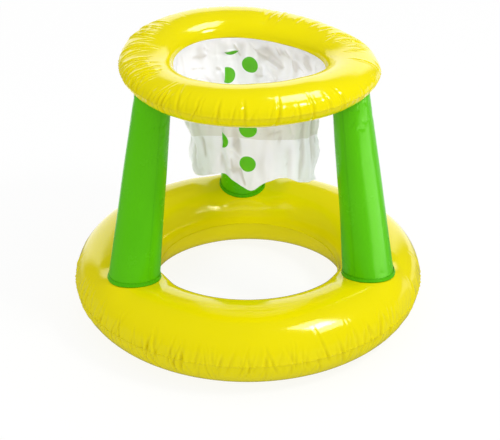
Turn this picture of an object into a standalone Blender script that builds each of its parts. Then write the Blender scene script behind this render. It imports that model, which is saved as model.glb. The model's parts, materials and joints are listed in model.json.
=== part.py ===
"""Floating basketball hoop for the pool, in metres, +Z up, standing on z = 0 with the front at -Y.

An inflated base ring floats on the water. Three splayed, tapered posts stand on it and carry a
smaller inflated ring, the rim, and a film net hangs from the rim's inner seam. Each ring is two
sheets of film welded at an inner and an outer seam, each post is a rolled tube closed by a disc at
both ends, and each of the five air chambers has a plugged valve on the side away from the front.
"""
import math

import bmesh
import bpy
from mathutils import Matrix, Vector

TURN = 2 * math.pi
MERGE_DISTANCE = 0.00001

# Film and how pieces lie on each other
FILM = 0.0004
CONTACT_GAP = 0.0003
DRAPE_GAP = 0.0009
SEAM_LIP = 0.003

# Base ring, measured over the inflated tube
BASE_OUTER_DIAMETER = 0.670
BASE_TUBE_WIDTH = 0.158
BASE_HEIGHT = 0.1376
BASE_FLOOR_PRESS = 0.0015
BASE_STEPS = 48

# Rim ring: centreline radius, tube section and how it sits
RIM_RADIUS = 0.1867
RIM_TUBE_WIDTH = 0.103
RIM_TUBE_HEIGHT = 0.061
RIM_SEAM_HEIGHT = 0.4915
RIM_SHIFT_X = 0.0013
RIM_TILT_X = math.radians(0.98)
RIM_TILT_Y = math.radians(1.18)
RIM_STEPS = 40
# The soft rim is pulled a little out of round: cosine and sine shares of each wave
RIM_PULL_TWICE = (-0.0006, -0.0029)
RIM_PULL_THRICE = (0.0022, 0.0021)
RIM_LIFT_TWICE = (-0.0024, -0.0031)
RIM_SWELL_ONCE = (0.0003, 0.0025)
RIM_SWELL_TWICE = (-0.0039, -0.0012)

SECTION_STEPS = 9

# Posts: how far each end's middle stands out from its ring's centreline, and its bearing
POST_FOOT_RADIUS = 0.0462
POST_HEAD_RADIUS = 0.0335
POST_FEET = {"rear": (-0.0067, 92.8), "left": (-0.0067, 213.6), "right": (-0.0028, 330.8)}
POST_HEADS = {"rear": (0.0033, 91.5), "left": (0.0033, 209.5), "right": (0.0108, 336.5)}
POST_SIDES = 24
DISC_RING_SHARES = (0.36, 0.70, 1.0)
COLLAR_HEIGHT = 0.0065
COLLAR_GAP = 2 * CONTACT_GAP
HEAD_DISC_LIP = 0.0012

# How a line is followed to the ring that it meets
SEARCH_STEP = 0.002
SEARCH_REACH = RIM_SEAM_HEIGHT
SEARCH_HALVINGS = 30

# Net: a tube of film that hangs from the rim's inner seam
NET_FILM = 0.0003
NET_COLUMNS = 60
NET_ROWS = 8
NET_SEAM_INSET = 0.0016
NET_DRAW_IN = 0.0161
NET_DRAW_POWER = 1.7
NET_LOOSE_POWER = 0.7
NET_DRIFT_X = 0.0085
# Bearing in degrees, and how far the hem hangs below the height of the rim's seam there
NET_HEM = ((-172, 0.2175), (-146, 0.1915), (-121, 0.1680), (-108, 0.1785), (-92, 0.1970),
           (-77, 0.1815), (-64, 0.1775), (-50, 0.1890), (-30, 0.2085), (-8, 0.2210),
           (25, 0.2195), (60, 0.2035), (92, 0.1915), (125, 0.2005), (160, 0.2175))
# Main folds: bearing and width in degrees, depth at the hem (a bulge is below zero)
NET_FOLDS = ((-172, 9, 0.004), (-150, 9, -0.002), (-118, 7, 0.010), (-97, 8, 0.006),
             (-58, 10, 0.005), (-34, 8, 0.004), (-9, 8, -0.006), (24, 9, 0.006), (58, 10, 0.005),
             (88, 8, 0.007), (112, 7, 0.008), (140, 10, 0.005), (165, 8, -0.003))
# Where the hem turns in at the left, from the given share of the way down
NET_TUCK_BEARING = 176
NET_TUCK_WIDTH = 28
NET_TUCK_DEPTH = 0.012
NET_TUCK_START = 0.80

# Valve, along its own axis out of the skin
STEM_RADIUS = 0.0042
STEM_BORE = 0.0030
STEM_HEIGHT = 0.0100
STEM_CLEARANCE = 0.0005
STEM_HOLE_DEPTH = 0.0080
STEM_LIP_RADIUS = 0.0060
STEM_LIP_THICKNESS = 0.0010
STEM_LIP_DROP = 0.0012
FLANGE_RADIUS = 0.0090
FLANGE_THICKNESS = 0.0008
LUG_LENGTH = 0.0034
LUG_WIDTH = 0.0034
LUG_THICKNESS = 0.0011
PLUG_TOP_RADIUS = 0.0022
PLUG_TIP_RADIUS = 0.0018
PLUG_DEPTH = 0.0030
CAP_RADIUS = 0.0046
CAP_THICKNESS = 0.0014
STRAP_THICKNESS = 0.0008
FLAP_THICKNESS = 0.0004
FLAP_OVERLAP = 0.0004
VALVE_SIDES = 12

# Where each valve sits: bearing on a ring and angle round its tube, or height up a post
BASE_VALVE = (74.0, 22.0)
RIM_VALVE = (118.0, -35.0)
POST_VALVE_SHARE = 0.28

# Colour, roughness and opacity of each finish
FINISHES = {
    "yellow_film": ((0.80, 0.66, 0.01, 1.0), 0.22, 1.0),
    "green_film": ((0.09, 0.55, 0.01, 1.0), 0.25, 1.0),
    "net_film": ((0.85, 0.86, 0.84, 1.0), 0.35, 0.8),
    "valve_vinyl": ((0.86, 0.88, 0.84, 1.0), 0.30, 1.0),
}


def base_section():
    """Radius of the base tube's centreline, half width, half height and centre height."""
    half_width = BASE_TUBE_WIDTH / 2
    half_height = (BASE_HEIGHT + BASE_FLOOR_PRESS) / 2
    return BASE_OUTER_DIAMETER / 2 - half_width, half_width, half_height, BASE_HEIGHT - half_height


def wave(shares, times, bearing):
    """A cosine and a sine that go round the ring the given number of times."""
    return shares[0] * math.cos(times * bearing) + shares[1] * math.sin(times * bearing)


def rim_shape(bearing):
    """Centreline radius, lift and tube scale of the rim at a bearing."""
    radius = RIM_RADIUS + wave(RIM_PULL_TWICE, 2, bearing) + wave(RIM_PULL_THRICE, 3, bearing)
    lift = wave(RIM_LIFT_TWICE, 2, bearing)
    swell = wave(RIM_SWELL_ONCE, 1, bearing) + wave(RIM_SWELL_TWICE, 2, bearing)
    return radius, lift, 1 + swell / (RIM_TUBE_WIDTH / 2)


def rim_frame():
    """From the rim's own frame, its seam in the XY plane, to the whole object's."""
    tilt = Matrix.Rotation(RIM_TILT_Y, 4, "Y") @ Matrix.Rotation(RIM_TILT_X, 4, "X")
    return Matrix.Translation((RIM_SHIFT_X, 0, RIM_SEAM_HEIGHT)) @ tilt


def rim_place(bearing, across, up):
    """A point of the rim, across and up from the tube's centreline, before the swell."""
    radius, lift, scale = rim_shape(bearing)
    reach = radius + across * scale
    local = Vector((reach * math.cos(bearing), reach * math.sin(bearing), lift + up * scale))
    return rim_frame() @ local


def inside_base(point, clearance):
    """Whether a point lies in the base tube, grown by a clearance."""
    radius, half_width, half_height, centre = base_section()
    across = (math.hypot(point.x, point.y) - radius) / (half_width + clearance)
    up = (point.z - centre) / (half_height + clearance)
    return across * across + up * up < 1


def inside_rim(point, clearance):
    """Whether a point lies in the rim tube, grown by a clearance."""
    local = rim_frame().inverted() @ point
    radius, lift, scale = rim_shape(math.atan2(local.y, local.x))
    across = (math.hypot(local.x, local.y) - radius) / (RIM_TUBE_WIDTH / 2 * scale + clearance)
    up = (local.z - lift) / (RIM_TUBE_HEIGHT / 2 * scale + clearance)
    return across * across + up * up < 1


def slide_to(start, direction, inside, clearance):
    """The point where a line first meets a ring's surface, by steps and then by halving."""
    far = 0.0
    while not inside(start + direction * far, clearance):
        far += SEARCH_STEP
        if far > SEARCH_REACH:
            raise ValueError("the line misses the ring")
    near = far - SEARCH_STEP
    for _ in range(SEARCH_HALVINGS):
        middle = (near + far) / 2
        if inside(start + direction * middle, clearance):
            far = middle
        else:
            near = middle
    return start + direction * near


def material(name):
    colour, roughness, alpha = FINISHES[name]
    made = bpy.data.materials.new(name)
    made.use_nodes = True
    shader = made.node_tree.nodes["Principled BSDF"]
    shader.inputs["Base Color"].default_value = colour
    shader.inputs["Roughness"].default_value = roughness
    shader.inputs["Alpha"].default_value = alpha
    made.diffuse_color = colour
    return made


def add_object(name, mesh, finish, collection, smooth_angle=40):
    """Links a mesh as a named piece with its material, smooth but for its sharp edges."""
    piece = bpy.data.objects.new(name, mesh)
    collection.objects.link(piece)
    if finish:
        mesh.materials.clear()
        mesh.materials.append(finish)
    mesh.shade_smooth()
    mesh.set_sharp_from_angle(angle=math.radians(smooth_angle))
    return piece


def remove(piece):
    mesh = piece.data
    bpy.data.objects.remove(piece)
    bpy.data.meshes.remove(mesh)


def evaluated_mesh(piece):
    """The piece's mesh with its modifiers applied."""
    graph = bpy.context.evaluated_depsgraph_get()
    return bpy.data.meshes.new_from_object(piece.evaluated_get(graph))


def profile_mesh(name, points, closed):
    """A mesh of edges in the XZ plane, for Screw to turn."""
    mesh = bpy.data.meshes.new(name)
    edges = [(i, i + 1) for i in range(len(points) - 1)]
    if closed:
        edges.append((len(points) - 1, 0))
    mesh.from_pydata([(r, 0, z) for r, z in points], edges, [])
    return mesh


def turned_mesh(name, points, steps, closed=False):
    """A profile turned about Z, with its faces on the left of the way the points run."""
    holder = bpy.data.objects.new(name, profile_mesh(name, points, closed))
    bpy.context.scene.collection.objects.link(holder)
    screw = holder.modifiers.new("turn", "SCREW")
    screw.steps = steps
    screw.render_steps = steps
    screw.use_merge_vertices = True
    screw.merge_threshold = MERGE_DISTANCE
    mesh = evaluated_mesh(holder)
    remove(holder)
    return mesh


def point_outwards(mesh, closed):
    """Faces of a closed body point out. On a sheet they are made alike and left for the caller."""
    shape = bmesh.new()
    shape.from_mesh(mesh)
    bmesh.ops.remove_doubles(shape, verts=shape.verts, dist=MERGE_DISTANCE)
    bmesh.ops.recalc_face_normals(shape, faces=shape.faces)
    if closed and shape.calc_volume(signed=True) < 0:
        bmesh.ops.reverse_faces(shape, faces=shape.faces)
    shape.to_mesh(mesh)
    shape.free()
    return mesh


def thicken(piece, thickness):
    """Gives an open sheet its film, on the side that its faces turn away from."""
    wall = piece.modifiers.new("film", "SOLIDIFY")
    wall.thickness = thickness
    wall.offset = -1
    wall.use_even_offset = True
    wall.use_rim = True
    return wall


def face_away(mesh, centre_of):
    """Turns a sheet's faces so that they point away from the chamber's middle."""
    shape = bmesh.new()
    shape.from_mesh(mesh)
    shape.normal_update()
    lean = 0.0
    for face in shape.faces:
        middle = face.calc_center_median()
        lean += face.normal.dot(middle - centre_of(middle)) * face.calc_area()
    if lean < 0:
        bmesh.ops.reverse_faces(shape, faces=shape.faces)
    shape.to_mesh(mesh)
    shape.free()


def sheet_profile(radius, half_width, half_height, side, floor=None):
    """Half a tube's section with its two weld lips, for the upper (+1) or lower (-1) sheet."""
    seam = CONTACT_GAP / 2 + FILM
    points = [(radius + half_width + SEAM_LIP, side * seam)]
    for step in range(SECTION_STEPS + 1):
        turn = math.pi * step / SECTION_STEPS
        up = seam + (half_height - seam) * math.sin(turn)
        if floor is not None:
            up = min(up, floor)
        points.append((radius + half_width * math.cos(turn), side * up))
    points.append((radius - half_width - SEAM_LIP, side * seam))
    return points


def make_base_sheet(name, side, finish, collection):
    """One of the base ring's two sheets, the lower one pressed flat where it stands."""
    radius, half_width, half_height, centre = base_section()
    floor = centre if side < 0 else None
    mesh = turned_mesh(name, sheet_profile(radius, half_width, half_height, side, floor), BASE_STEPS)
    point_outwards(mesh, closed=False)
    mesh.transform(Matrix.Translation((0, 0, centre)))

    def tube_centre(point):
        bearing = math.atan2(point.y, point.x)
        return Vector((radius * math.cos(bearing), radius * math.sin(bearing), centre))

    face_away(mesh, tube_centre)
    piece = add_object(name, mesh, finish, collection)
    thicken(piece, FILM)
    return piece


def make_rim_sheet(name, side, finish, collection):
    """One of the rim's two sheets: a turned one, then drawn to the rim's own uneven shape."""
    half_width, half_height = RIM_TUBE_WIDTH / 2, RIM_TUBE_HEIGHT / 2
    mesh = turned_mesh(name, sheet_profile(RIM_RADIUS, half_width, half_height, side), RIM_STEPS)
    point_outwards(mesh, closed=False)
    for vertex in mesh.vertices:
        bearing = math.atan2(vertex.co.y, vertex.co.x)
        across = math.hypot(vertex.co.x, vertex.co.y) - RIM_RADIUS
        vertex.co = rim_place(bearing, across, vertex.co.z)

    def tube_centre(point):
        local = rim_frame().inverted() @ point
        return rim_place(math.atan2(local.y, local.x), 0, 0)

    face_away(mesh, tube_centre)
    piece = add_object(name, mesh, finish, collection)
    thicken(piece, FILM)
    return piece


class Post:
    """Axis and cross directions of one post, from its foot on the base to its head at the rim."""

    def __init__(self, name):
        out, bearing = POST_FEET[name]
        reach, turn = base_section()[0] + out, math.radians(bearing)
        self.foot = Vector((reach * math.cos(turn), reach * math.sin(turn), BASE_HEIGHT))
        out, bearing = POST_HEADS[name]
        reach, turn = RIM_RADIUS + out, math.radians(bearing)
        self.head = Vector((reach * math.cos(turn), reach * math.sin(turn),
                            RIM_SEAM_HEIGHT - RIM_TUBE_HEIGHT / 2))
        self.name = name
        self.axis = (self.head - self.foot).normalized()
        self.across = self.axis.cross(Vector((0, 0, 1))).normalized()
        self.through = self.axis.cross(self.across)

    def radial(self, turn):
        return self.across * math.cos(turn) + self.through * math.sin(turn)

    def end(self, turn, at_head):
        """Where the tube's wall stops, clear of the ring and the end disc between them."""
        low = self.foot + self.radial(turn) * POST_FOOT_RADIUS
        high = self.head + self.radial(turn) * POST_HEAD_RADIUS
        up = (high - low).normalized()
        clearance = DRAPE_GAP + FILM + CONTACT_GAP
        if at_head:
            return slide_to((low + high) / 2, up, inside_rim, clearance)
        return slide_to((low + high) / 2, -up, inside_base, clearance)

    def disc_point(self, turn, share, at_head, extra=0.0):
        """A point of an end disc, the given share of the tube's radius out from its axis."""
        radius = (POST_HEAD_RADIUS if at_head else POST_FOOT_RADIUS) * share + extra
        start = (self.foot + self.head) / 2 + self.radial(turn) * radius
        if at_head:
            return slide_to(start, self.axis, inside_rim, DRAPE_GAP + FILM)
        return slide_to(start, -self.axis, inside_base, DRAPE_GAP + FILM)


def make_post_tube(post, finish, collection):
    """The tapered tube, whose two ends follow the rings that they are welded to."""
    shape = bmesh.new()
    bmesh.ops.create_cone(shape, cap_ends=False, segments=POST_SIDES, radius1=1, radius2=1, depth=2)
    for vertex in shape.verts:
        vertex.co = post.end(math.atan2(vertex.co.y, vertex.co.x), at_head=vertex.co.z > 0)
    mesh = bpy.data.meshes.new(f"post_{post.name}_tube")
    shape.to_mesh(mesh)
    shape.free()
    middle = (post.foot + post.head) / 2
    face_away(mesh, lambda point: middle + post.axis * (point - middle).dot(post.axis))
    piece = add_object(f"post_{post.name}_tube", mesh, finish, collection)
    thicken(piece, FILM)
    return piece


def disc_mesh(name, rings, apex):
    """A round sheet from rings of points and a middle point."""
    shape = bmesh.new()
    middle = shape.verts.new(apex)
    rows = [[shape.verts.new(point) for point in ring] for ring in rings]
    count = len(rings[0])
    for side in range(count):
        following = (side + 1) % count
        shape.faces.new((middle, rows[0][side], rows[0][following]))
        for inner, outer in zip(rows, rows[1:]):
            shape.faces.new((inner[side], outer[side], outer[following], inner[following]))
    mesh = bpy.data.meshes.new(name)
    shape.to_mesh(mesh)
    shape.free()
    return mesh


def make_end_disc(post, at_head, finish, collection):
    """The disc that closes a post, draped on its ring. The foot's edge turns up as a collar."""
    name = f"post_{post.name}_{'head' if at_head else 'foot'}_disc"
    turns = [TURN * side / POST_SIDES for side in range(POST_SIDES)]
    edge = HEAD_DISC_LIP if at_head else COLLAR_GAP + FILM
    rings = [[post.disc_point(turn, share, at_head) for turn in turns] for share in DISC_RING_SHARES]
    rings.append([post.disc_point(turn, 1.0, at_head, edge) for turn in turns])
    if not at_head:
        rings.append([point + post.axis * COLLAR_HEIGHT for point in rings[-1]])
    mesh = disc_mesh(name, rings, post.disc_point(0.0, 0.0, at_head))
    shape = bmesh.new()
    shape.from_mesh(mesh)
    shape.normal_update()
    shape.faces.ensure_lookup_table()
    towards_tube = -post.axis if at_head else post.axis
    if shape.faces[0].normal.dot(towards_tube) < 0:
        bmesh.ops.reverse_faces(shape, faces=shape.faces)
    shape.to_mesh(mesh)
    shape.free()
    piece = add_object(name, mesh, finish, collection)
    thicken(piece, FILM)
    return piece


def smooth_between(stops, bearing):
    """Value at a bearing, eased from the last stop before it to the next one round the ring."""
    index = min(range(len(stops)), key=lambda choice: (bearing - stops[choice][0]) % 360)
    (low, value), (high, next_value) = stops[index], stops[(index + 1) % len(stops)]
    along = ((bearing - low) % 360) / ((high - low) % 360)
    return value + (next_value - value) * (1 - math.cos(math.pi * along)) / 2


def bell(bearing, centre, width):
    """One where the bearing meets the centre, falling to nothing on either side."""
    apart = (bearing - centre + 180) % 360 - 180
    return math.exp(-((apart / width) ** 2))


def net_point(bearing_degrees, share):
    """A point of the net, share running from 0 at the seam to 1 at the hem."""
    bearing = math.radians(bearing_degrees)
    seam_drop = CONTACT_GAP / 2 + FILM + CONTACT_GAP
    top = rim_place(bearing, -RIM_TUBE_WIDTH / 2 - NET_SEAM_INSET, -seam_drop)
    hem = RIM_SEAM_HEIGHT - smooth_between(NET_HEM, bearing_degrees)
    up = top.z + (hem - top.z) * share
    hang_radius = RIM_RADIUS - RIM_TUBE_WIDTH / 2 - NET_SEAM_INSET - NET_DRAW_IN
    hold = (1 - share) ** NET_DRAW_POWER
    radius = math.hypot(top.x, top.y) * hold + hang_radius * (1 - hold)
    loose = share ** NET_LOOSE_POWER
    for centre, width, depth in NET_FOLDS:
        radius -= depth * loose * bell(bearing_degrees, centre, width)
    tuck = max(0.0, (share - NET_TUCK_START) / (1 - NET_TUCK_START))
    radius -= NET_TUCK_DEPTH * tuck * tuck * bell(bearing_degrees, NET_TUCK_BEARING, NET_TUCK_WIDTH)
    drift = NET_DRIFT_X * (1 - hold)
    facing = math.atan2(top.y, top.x)
    return Vector((radius * math.cos(facing) + drift, radius * math.sin(facing), up))


def make_net(finish, collection):
    """The hanging film net: a tube of film with its main folds and its uneven hem."""
    shape = bmesh.new()
    columns = [360 * column / NET_COLUMNS - 180 for column in range(NET_COLUMNS)]
    rows = []
    for row in range(NET_ROWS + 1):
        rows.append([shape.verts.new(net_point(bearing, row / NET_ROWS)) for bearing in columns])
    for upper, lower in zip(rows, rows[1:]):
        for column in range(NET_COLUMNS):
            following = (column + 1) % NET_COLUMNS
            shape.faces.new((upper[column], lower[column], lower[following], upper[following]))
    mesh = bpy.data.meshes.new("net")
    shape.to_mesh(mesh)
    shape.free()
    face_away(mesh, lambda point: Vector((0, 0, point.z)))
    piece = add_object("net", mesh, finish, collection, smooth_angle=70)
    thicken(piece, NET_FILM)
    return piece


def box_mesh(name, low, high):
    shape = bmesh.new()
    bmesh.ops.create_cube(shape, size=1)
    size = Vector(high) - Vector(low)
    middle = (Vector(high) + Vector(low)) / 2
    for vertex in shape.verts:
        vertex.co = Vector((vertex.co.x * size.x, vertex.co.y * size.y, vertex.co.z * size.z)) + middle
    mesh = bpy.data.meshes.new(name)
    shape.to_mesh(mesh)
    shape.free()
    return mesh


def cutter(name, mesh, collection):
    tool = bpy.data.objects.new(name, mesh)
    collection.objects.link(tool)
    tool.hide_render = True
    tool.display_type = "WIRE"
    return tool


def combine(piece, tool, operation):
    """A live Boolean on the piece, with the tool kept as a hidden wire guide."""
    change = piece.modifiers.new(tool.name, "BOOLEAN")
    change.operation = operation
    change.solver = "EXACT"
    change.object = tool
    return change


def closed_turned(name, points):
    """A turned solid of a valve from the outline of its section."""
    return point_outwards(turned_mesh(name, points, VALVE_SIDES, closed=points[0][0] > 0), closed=True)


def seat_on_face(sheet_mesh, towards):
    """Frame whose origin is the middle of the face nearest a point, and whose Z leaves the skin."""
    nearest = min(sheet_mesh.polygons, key=lambda face: (face.center - towards).length)
    outward = nearest.normal.copy()
    upward = Vector((0, 0, 1)) - outward * outward.z
    side = upward.normalized()
    turn = Matrix((side, outward.cross(side), outward)).transposed()
    return Matrix.Translation(nearest.center) @ turn.to_4x4()


def make_valve(chamber, sheet, towards, finishes, collection, cutters):
    """Flange, sliding stem, hinged cap and inner flap of one chamber's valve."""
    seat = seat_on_face(sheet.data, towards)
    guide = bpy.data.objects.new(f"{chamber}_valve_seat", None)
    guide.empty_display_size = 0.01
    guide.matrix_world = seat
    collection.objects.link(guide)

    hole = STEM_RADIUS + STEM_CLEARANCE
    drill = bmesh.new()
    bmesh.ops.create_cone(drill, cap_ends=True, segments=VALVE_SIDES, radius1=hole, radius2=hole,
                          depth=STEM_HOLE_DEPTH)
    drill_mesh = bpy.data.meshes.new(f"{chamber}_valve_hole")
    drill.to_mesh(drill_mesh)
    drill.free()
    drill_mesh.transform(seat)
    combine(sheet, cutter(f"{chamber}_valve_hole", drill_mesh, cutters), "DIFFERENCE")

    def place(piece, offset=(0, 0, 0)):
        piece.parent = guide
        piece.location = offset
        return piece

    low, high = CONTACT_GAP, CONTACT_GAP + FLANGE_THICKNESS
    flange = closed_turned("flange", [(hole, low), (FLANGE_RADIUS, low), (FLANGE_RADIUS, high), (hole, high)])
    place(add_object(f"{chamber}_valve_flange", flange, finishes["skin"], collection))

    foot = -STEM_LIP_DROP - STEM_LIP_THICKNESS
    stem_outline = [(STEM_BORE, foot), (STEM_LIP_RADIUS, foot), (STEM_LIP_RADIUS, -STEM_LIP_DROP),
                    (STEM_RADIUS, -STEM_LIP_DROP), (STEM_RADIUS, STEM_HEIGHT), (STEM_BORE, STEM_HEIGHT)]
    stem = place(add_object(f"{chamber}_valve_stem", closed_turned("stem", stem_outline),
                            finishes["clear"], collection))
    middle_of_wall = (STEM_RADIUS + STEM_BORE) / 2
    hinge_reach = STEM_RADIUS + LUG_LENGTH
    lug = box_mesh(f"{chamber}_valve_lug", (middle_of_wall, -LUG_WIDTH / 2, STEM_HEIGHT - LUG_THICKNESS),
                   (hinge_reach, LUG_WIDTH / 2, STEM_HEIGHT))
    lug.transform(seat)
    combine(stem, cutter(f"{chamber}_valve_lug", lug, cutters), "UNION")

    hinge = Vector((hinge_reach, 0, STEM_HEIGHT + CONTACT_GAP))
    cap_outline = [(0, CAP_THICKNESS), (CAP_RADIUS, CAP_THICKNESS), (CAP_RADIUS, 0), (PLUG_TOP_RADIUS, 0),
                   (PLUG_TIP_RADIUS, -PLUG_DEPTH), (0, -PLUG_DEPTH)]
    cap_mesh = closed_turned("cap", cap_outline)
    cap_mesh.transform(Matrix.Translation((-hinge_reach, 0, 0)))
    cap = place(add_object(f"{chamber}_valve_cap", cap_mesh, finishes["clear"], collection), hinge)
    strap = box_mesh(f"{chamber}_valve_strap", (CAP_RADIUS / 2, -LUG_WIDTH / 2, hinge.z),
                     (hinge_reach, LUG_WIDTH / 2, hinge.z + STRAP_THICKNESS))
    strap.transform(seat)
    combine(cap, cutter(f"{chamber}_valve_strap", strap, cutters), "UNION")

    flap_radius = STEM_BORE + FLAP_OVERLAP
    flap_outline = [(0, 0), (flap_radius, 0), (flap_radius, -FLAP_THICKNESS), (0, -FLAP_THICKNESS)]
    flap_mesh = closed_turned("flap", flap_outline)
    flap_mesh.transform(Matrix.Translation((-flap_radius, 0, 0)))
    place(add_object(f"{chamber}_valve_flap", flap_mesh, finishes["clear"], collection),
          (flap_radius, 0, foot - CONTACT_GAP))


def ring_point(radius, half_width, half_height, centre, bearing, turn):
    """A point on a round ring's tube, by bearing and by angle up from the outer seam."""
    reach = radius + half_width * math.cos(turn)
    up = half_height * math.sin(turn)
    return Vector((reach * math.cos(bearing), reach * math.sin(bearing), centre + up))


def build():
    for old in list(bpy.data.objects):
        bpy.data.objects.remove(old)
    parts = bpy.data.collections.new("floating_basketball_hoop")
    cutters = bpy.data.collections.new("cutters")
    bpy.context.scene.collection.children.link(parts)
    bpy.context.scene.collection.children.link(cutters)

    yellow, green, white, clear = (material(name) for name in FINISHES)

    base_upper = make_base_sheet("base_upper_sheet", 1, yellow, parts)
    make_base_sheet("base_lower_sheet", -1, yellow, parts)
    make_rim_sheet("rim_upper_sheet", 1, yellow, parts)
    rim_lower = make_rim_sheet("rim_lower_sheet", -1, yellow, parts)
    make_net(white, parts)

    radius, half_width, half_height, centre = base_section()
    bearing, turn = (math.radians(angle) for angle in BASE_VALVE)
    base_spot = ring_point(radius, half_width, half_height, centre, bearing, turn)
    make_valve("base", base_upper, base_spot, {"skin": yellow, "clear": clear}, parts, cutters)
    bearing, turn = (math.radians(angle) for angle in RIM_VALVE)
    rim_spot = rim_place(bearing, RIM_TUBE_WIDTH / 2 * math.cos(turn), RIM_TUBE_HEIGHT / 2 * math.sin(turn))
    make_valve("rim", rim_lower, rim_spot, {"skin": yellow, "clear": clear}, parts, cutters)

    for name in POST_FEET:
        post = Post(name)
        tube = make_post_tube(post, green, parts)
        make_end_disc(post, False, green, parts)
        make_end_disc(post, True, green, parts)
        axis_point = post.foot.lerp(post.head, POST_VALVE_SHARE)
        behind = axis_point + Vector((0, POST_FOOT_RADIUS, 0))
        make_valve(f"post_{name}", tube, behind, {"skin": green, "clear": clear}, parts, cutters)
    bpy.context.view_layer.update()


build()
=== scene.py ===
"""Finish of a floating basketball hoop: film rings, posts, hanging net and valves on its packed frame.

Lengths are in metres. The hoop stands on z = 0 and its front is towards -Y.
"""
import json
import math

import bmesh
import bpy
import numpy as np
from bpy.props import FloatProperty, FloatVectorProperty, IntProperty, PointerProperty
from mathutils import Matrix, Vector

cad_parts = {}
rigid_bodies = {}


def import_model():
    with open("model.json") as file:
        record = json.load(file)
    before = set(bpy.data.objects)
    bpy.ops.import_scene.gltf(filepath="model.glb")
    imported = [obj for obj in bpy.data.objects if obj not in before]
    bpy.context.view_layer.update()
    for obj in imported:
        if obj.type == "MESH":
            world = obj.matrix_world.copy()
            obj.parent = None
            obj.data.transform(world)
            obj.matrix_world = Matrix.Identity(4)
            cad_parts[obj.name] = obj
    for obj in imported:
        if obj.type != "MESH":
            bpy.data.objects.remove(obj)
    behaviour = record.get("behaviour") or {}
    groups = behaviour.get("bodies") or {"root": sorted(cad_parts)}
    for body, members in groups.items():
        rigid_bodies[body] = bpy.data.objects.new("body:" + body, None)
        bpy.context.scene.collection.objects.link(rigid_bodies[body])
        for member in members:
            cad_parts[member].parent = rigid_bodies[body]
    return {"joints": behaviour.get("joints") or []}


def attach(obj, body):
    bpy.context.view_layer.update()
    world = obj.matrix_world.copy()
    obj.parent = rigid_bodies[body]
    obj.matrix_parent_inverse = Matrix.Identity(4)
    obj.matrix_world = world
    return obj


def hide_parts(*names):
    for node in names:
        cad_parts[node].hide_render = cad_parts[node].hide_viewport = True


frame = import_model()

bl_info = {
    "name": "Floating Hoop Finish",
    "version": (1, 0, 0),
    "blender": (4, 5, 0),
    "location": "3D View > Sidebar > Hoop",
    "description": "Makes the film, net and valves of a floating basketball hoop",
    "category": "Object",
}

TURN = 2 * math.pi
CHAMBERS = ("base", "rim", "post_rear", "post_left", "post_right")

# Film, welds and the small gaps between pieces that touch. Of a weld's lip, the film bends out to the
# first share, and the second stands free as its tip.
FILM = 0.0004
LIP = 0.0018
LIP_SHARES = (0.6, 0.4)
LIP_HEIGHT = 0.00055
LIP_BEND = 0.0022
WELD_GAP = 0.0001
INNER_WALL_INSET = 0.0012
REST_GAP = 0.0003
FOOT_GAP = 0.0006
HEAD_GAP = 0.0005

# Grids of the films as columns and rows. The rows of a ring crowd at the outer weld by a power, and a
# few more stand close to both welds, in radians. Its inner wall has fewer, and its section is
# measured in small steps. The posts' columns are those beside the long weld and those of the rest.
BASE_GRID = (1300, 46)
RIM_UPPER_GRID = (1150, 50)
RIM_LOWER_GRID = (1150, 46)
ROW_POWER = 1.15
WELD_ROWS = (0.008, 0.018, 0.030)
INNER_ROWS = 18
SECTION_STEPS = 2001
POST_GRID = (31, 200, 150)
NET_GRID = (470, 92)

COLLAR_GRID = (180, 9)
HEAD_GRID = (120, 6)

# Seeds of the posts, one after the other, and of the net
POST_SEED = 31
NET_SEED = 27

# How softly the film leaves the floor
FLOOR_ROUNDING = 0.0012

# Pleats at the outer weld: seed, half widths, depths, and how far they reach above and below it
WELD_PLEATS = {
    "base": (5, (0.0022, 0.0048), (0.0003, 0.0018), (0.014, 0.062), (0.016, 0.040)),
    "rim": (11, (0.0020, 0.0042), (0.0003, 0.0019), (0.010, 0.046), (0.012, 0.036)),
}
# Pleats over the tube: seed, range of bearings, count, half widths, depths, and the ranges in which
# their lower and upper ends lie, along the film from the outer weld
CROSSING_PLEATS = {
    "base": (
        (6, (-180, -112), 42, (0.0022, 0.0040), (0.0009, 0.0023), (-0.06, -0.02), (0.026, 0.066)),
        (7, (-112, -68), 26, (0.0022, 0.0040), (0.0008, 0.0021), (-0.06, -0.02), (0.022, 0.052)),
        (8, (-68, 4), 38, (0.0022, 0.0040), (0.0007, 0.0020), (-0.06, -0.02), (0.024, 0.070)),
    ),
    "rim": (
        (12, (144, 216), 38, (0.0025, 0.0042), (0.0012, 0.0030), (-0.02, 0.02), (0.060, 0.105)),
        (13, (24, 79), 15, (0.0034, 0.0054), (0.0009, 0.0019), (0.010, 0.03), (0.080, 0.112)),
        (14, (-14, 32), 16, (0.0022, 0.0036), (0.0005, 0.0014), (0.0, 0.03), (0.060, 0.100)),
        (15, (80, 148), 16, (0.0024, 0.0044), (0.0004, 0.0011), (0.0, 0.02), (0.050, 0.085)),
        (16, (-172, -108), 26, (0.0020, 0.0036), (0.0006, 0.0020), (-0.03, -0.01), (0.026, 0.068)),
    ),
}
# Pleats placed one by one: bearing, half width, depth, lower and upper end, and slant
PLACED_PLEATS = {
    "base": (),
    "rim": (
        (79.8, 0.0048, 0.0011, 0.0, 0.088, 0.0), (-102, 0.0034, 0.0022, -0.030, 0.042, 0.05),
        (-91.5, 0.0034, 0.0022, -0.030, 0.042, -0.05), (-78, 0.0034, 0.0022, -0.030, 0.042, 0.1),
        (-63.5, 0.0034, 0.0022, -0.030, 0.042, -0.1), (-126, 0.0034, 0.0022, -0.030, 0.042, 0.3),
        (-49, 0.0034, 0.0022, -0.030, 0.042, -0.2),
    ),
}
# How near a post's middle the pleats end, and how far off they are whole
FOOT_CLEAR = (0.052, 0.066)
HEAD_CLEAR = (0.036, 0.048)

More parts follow.
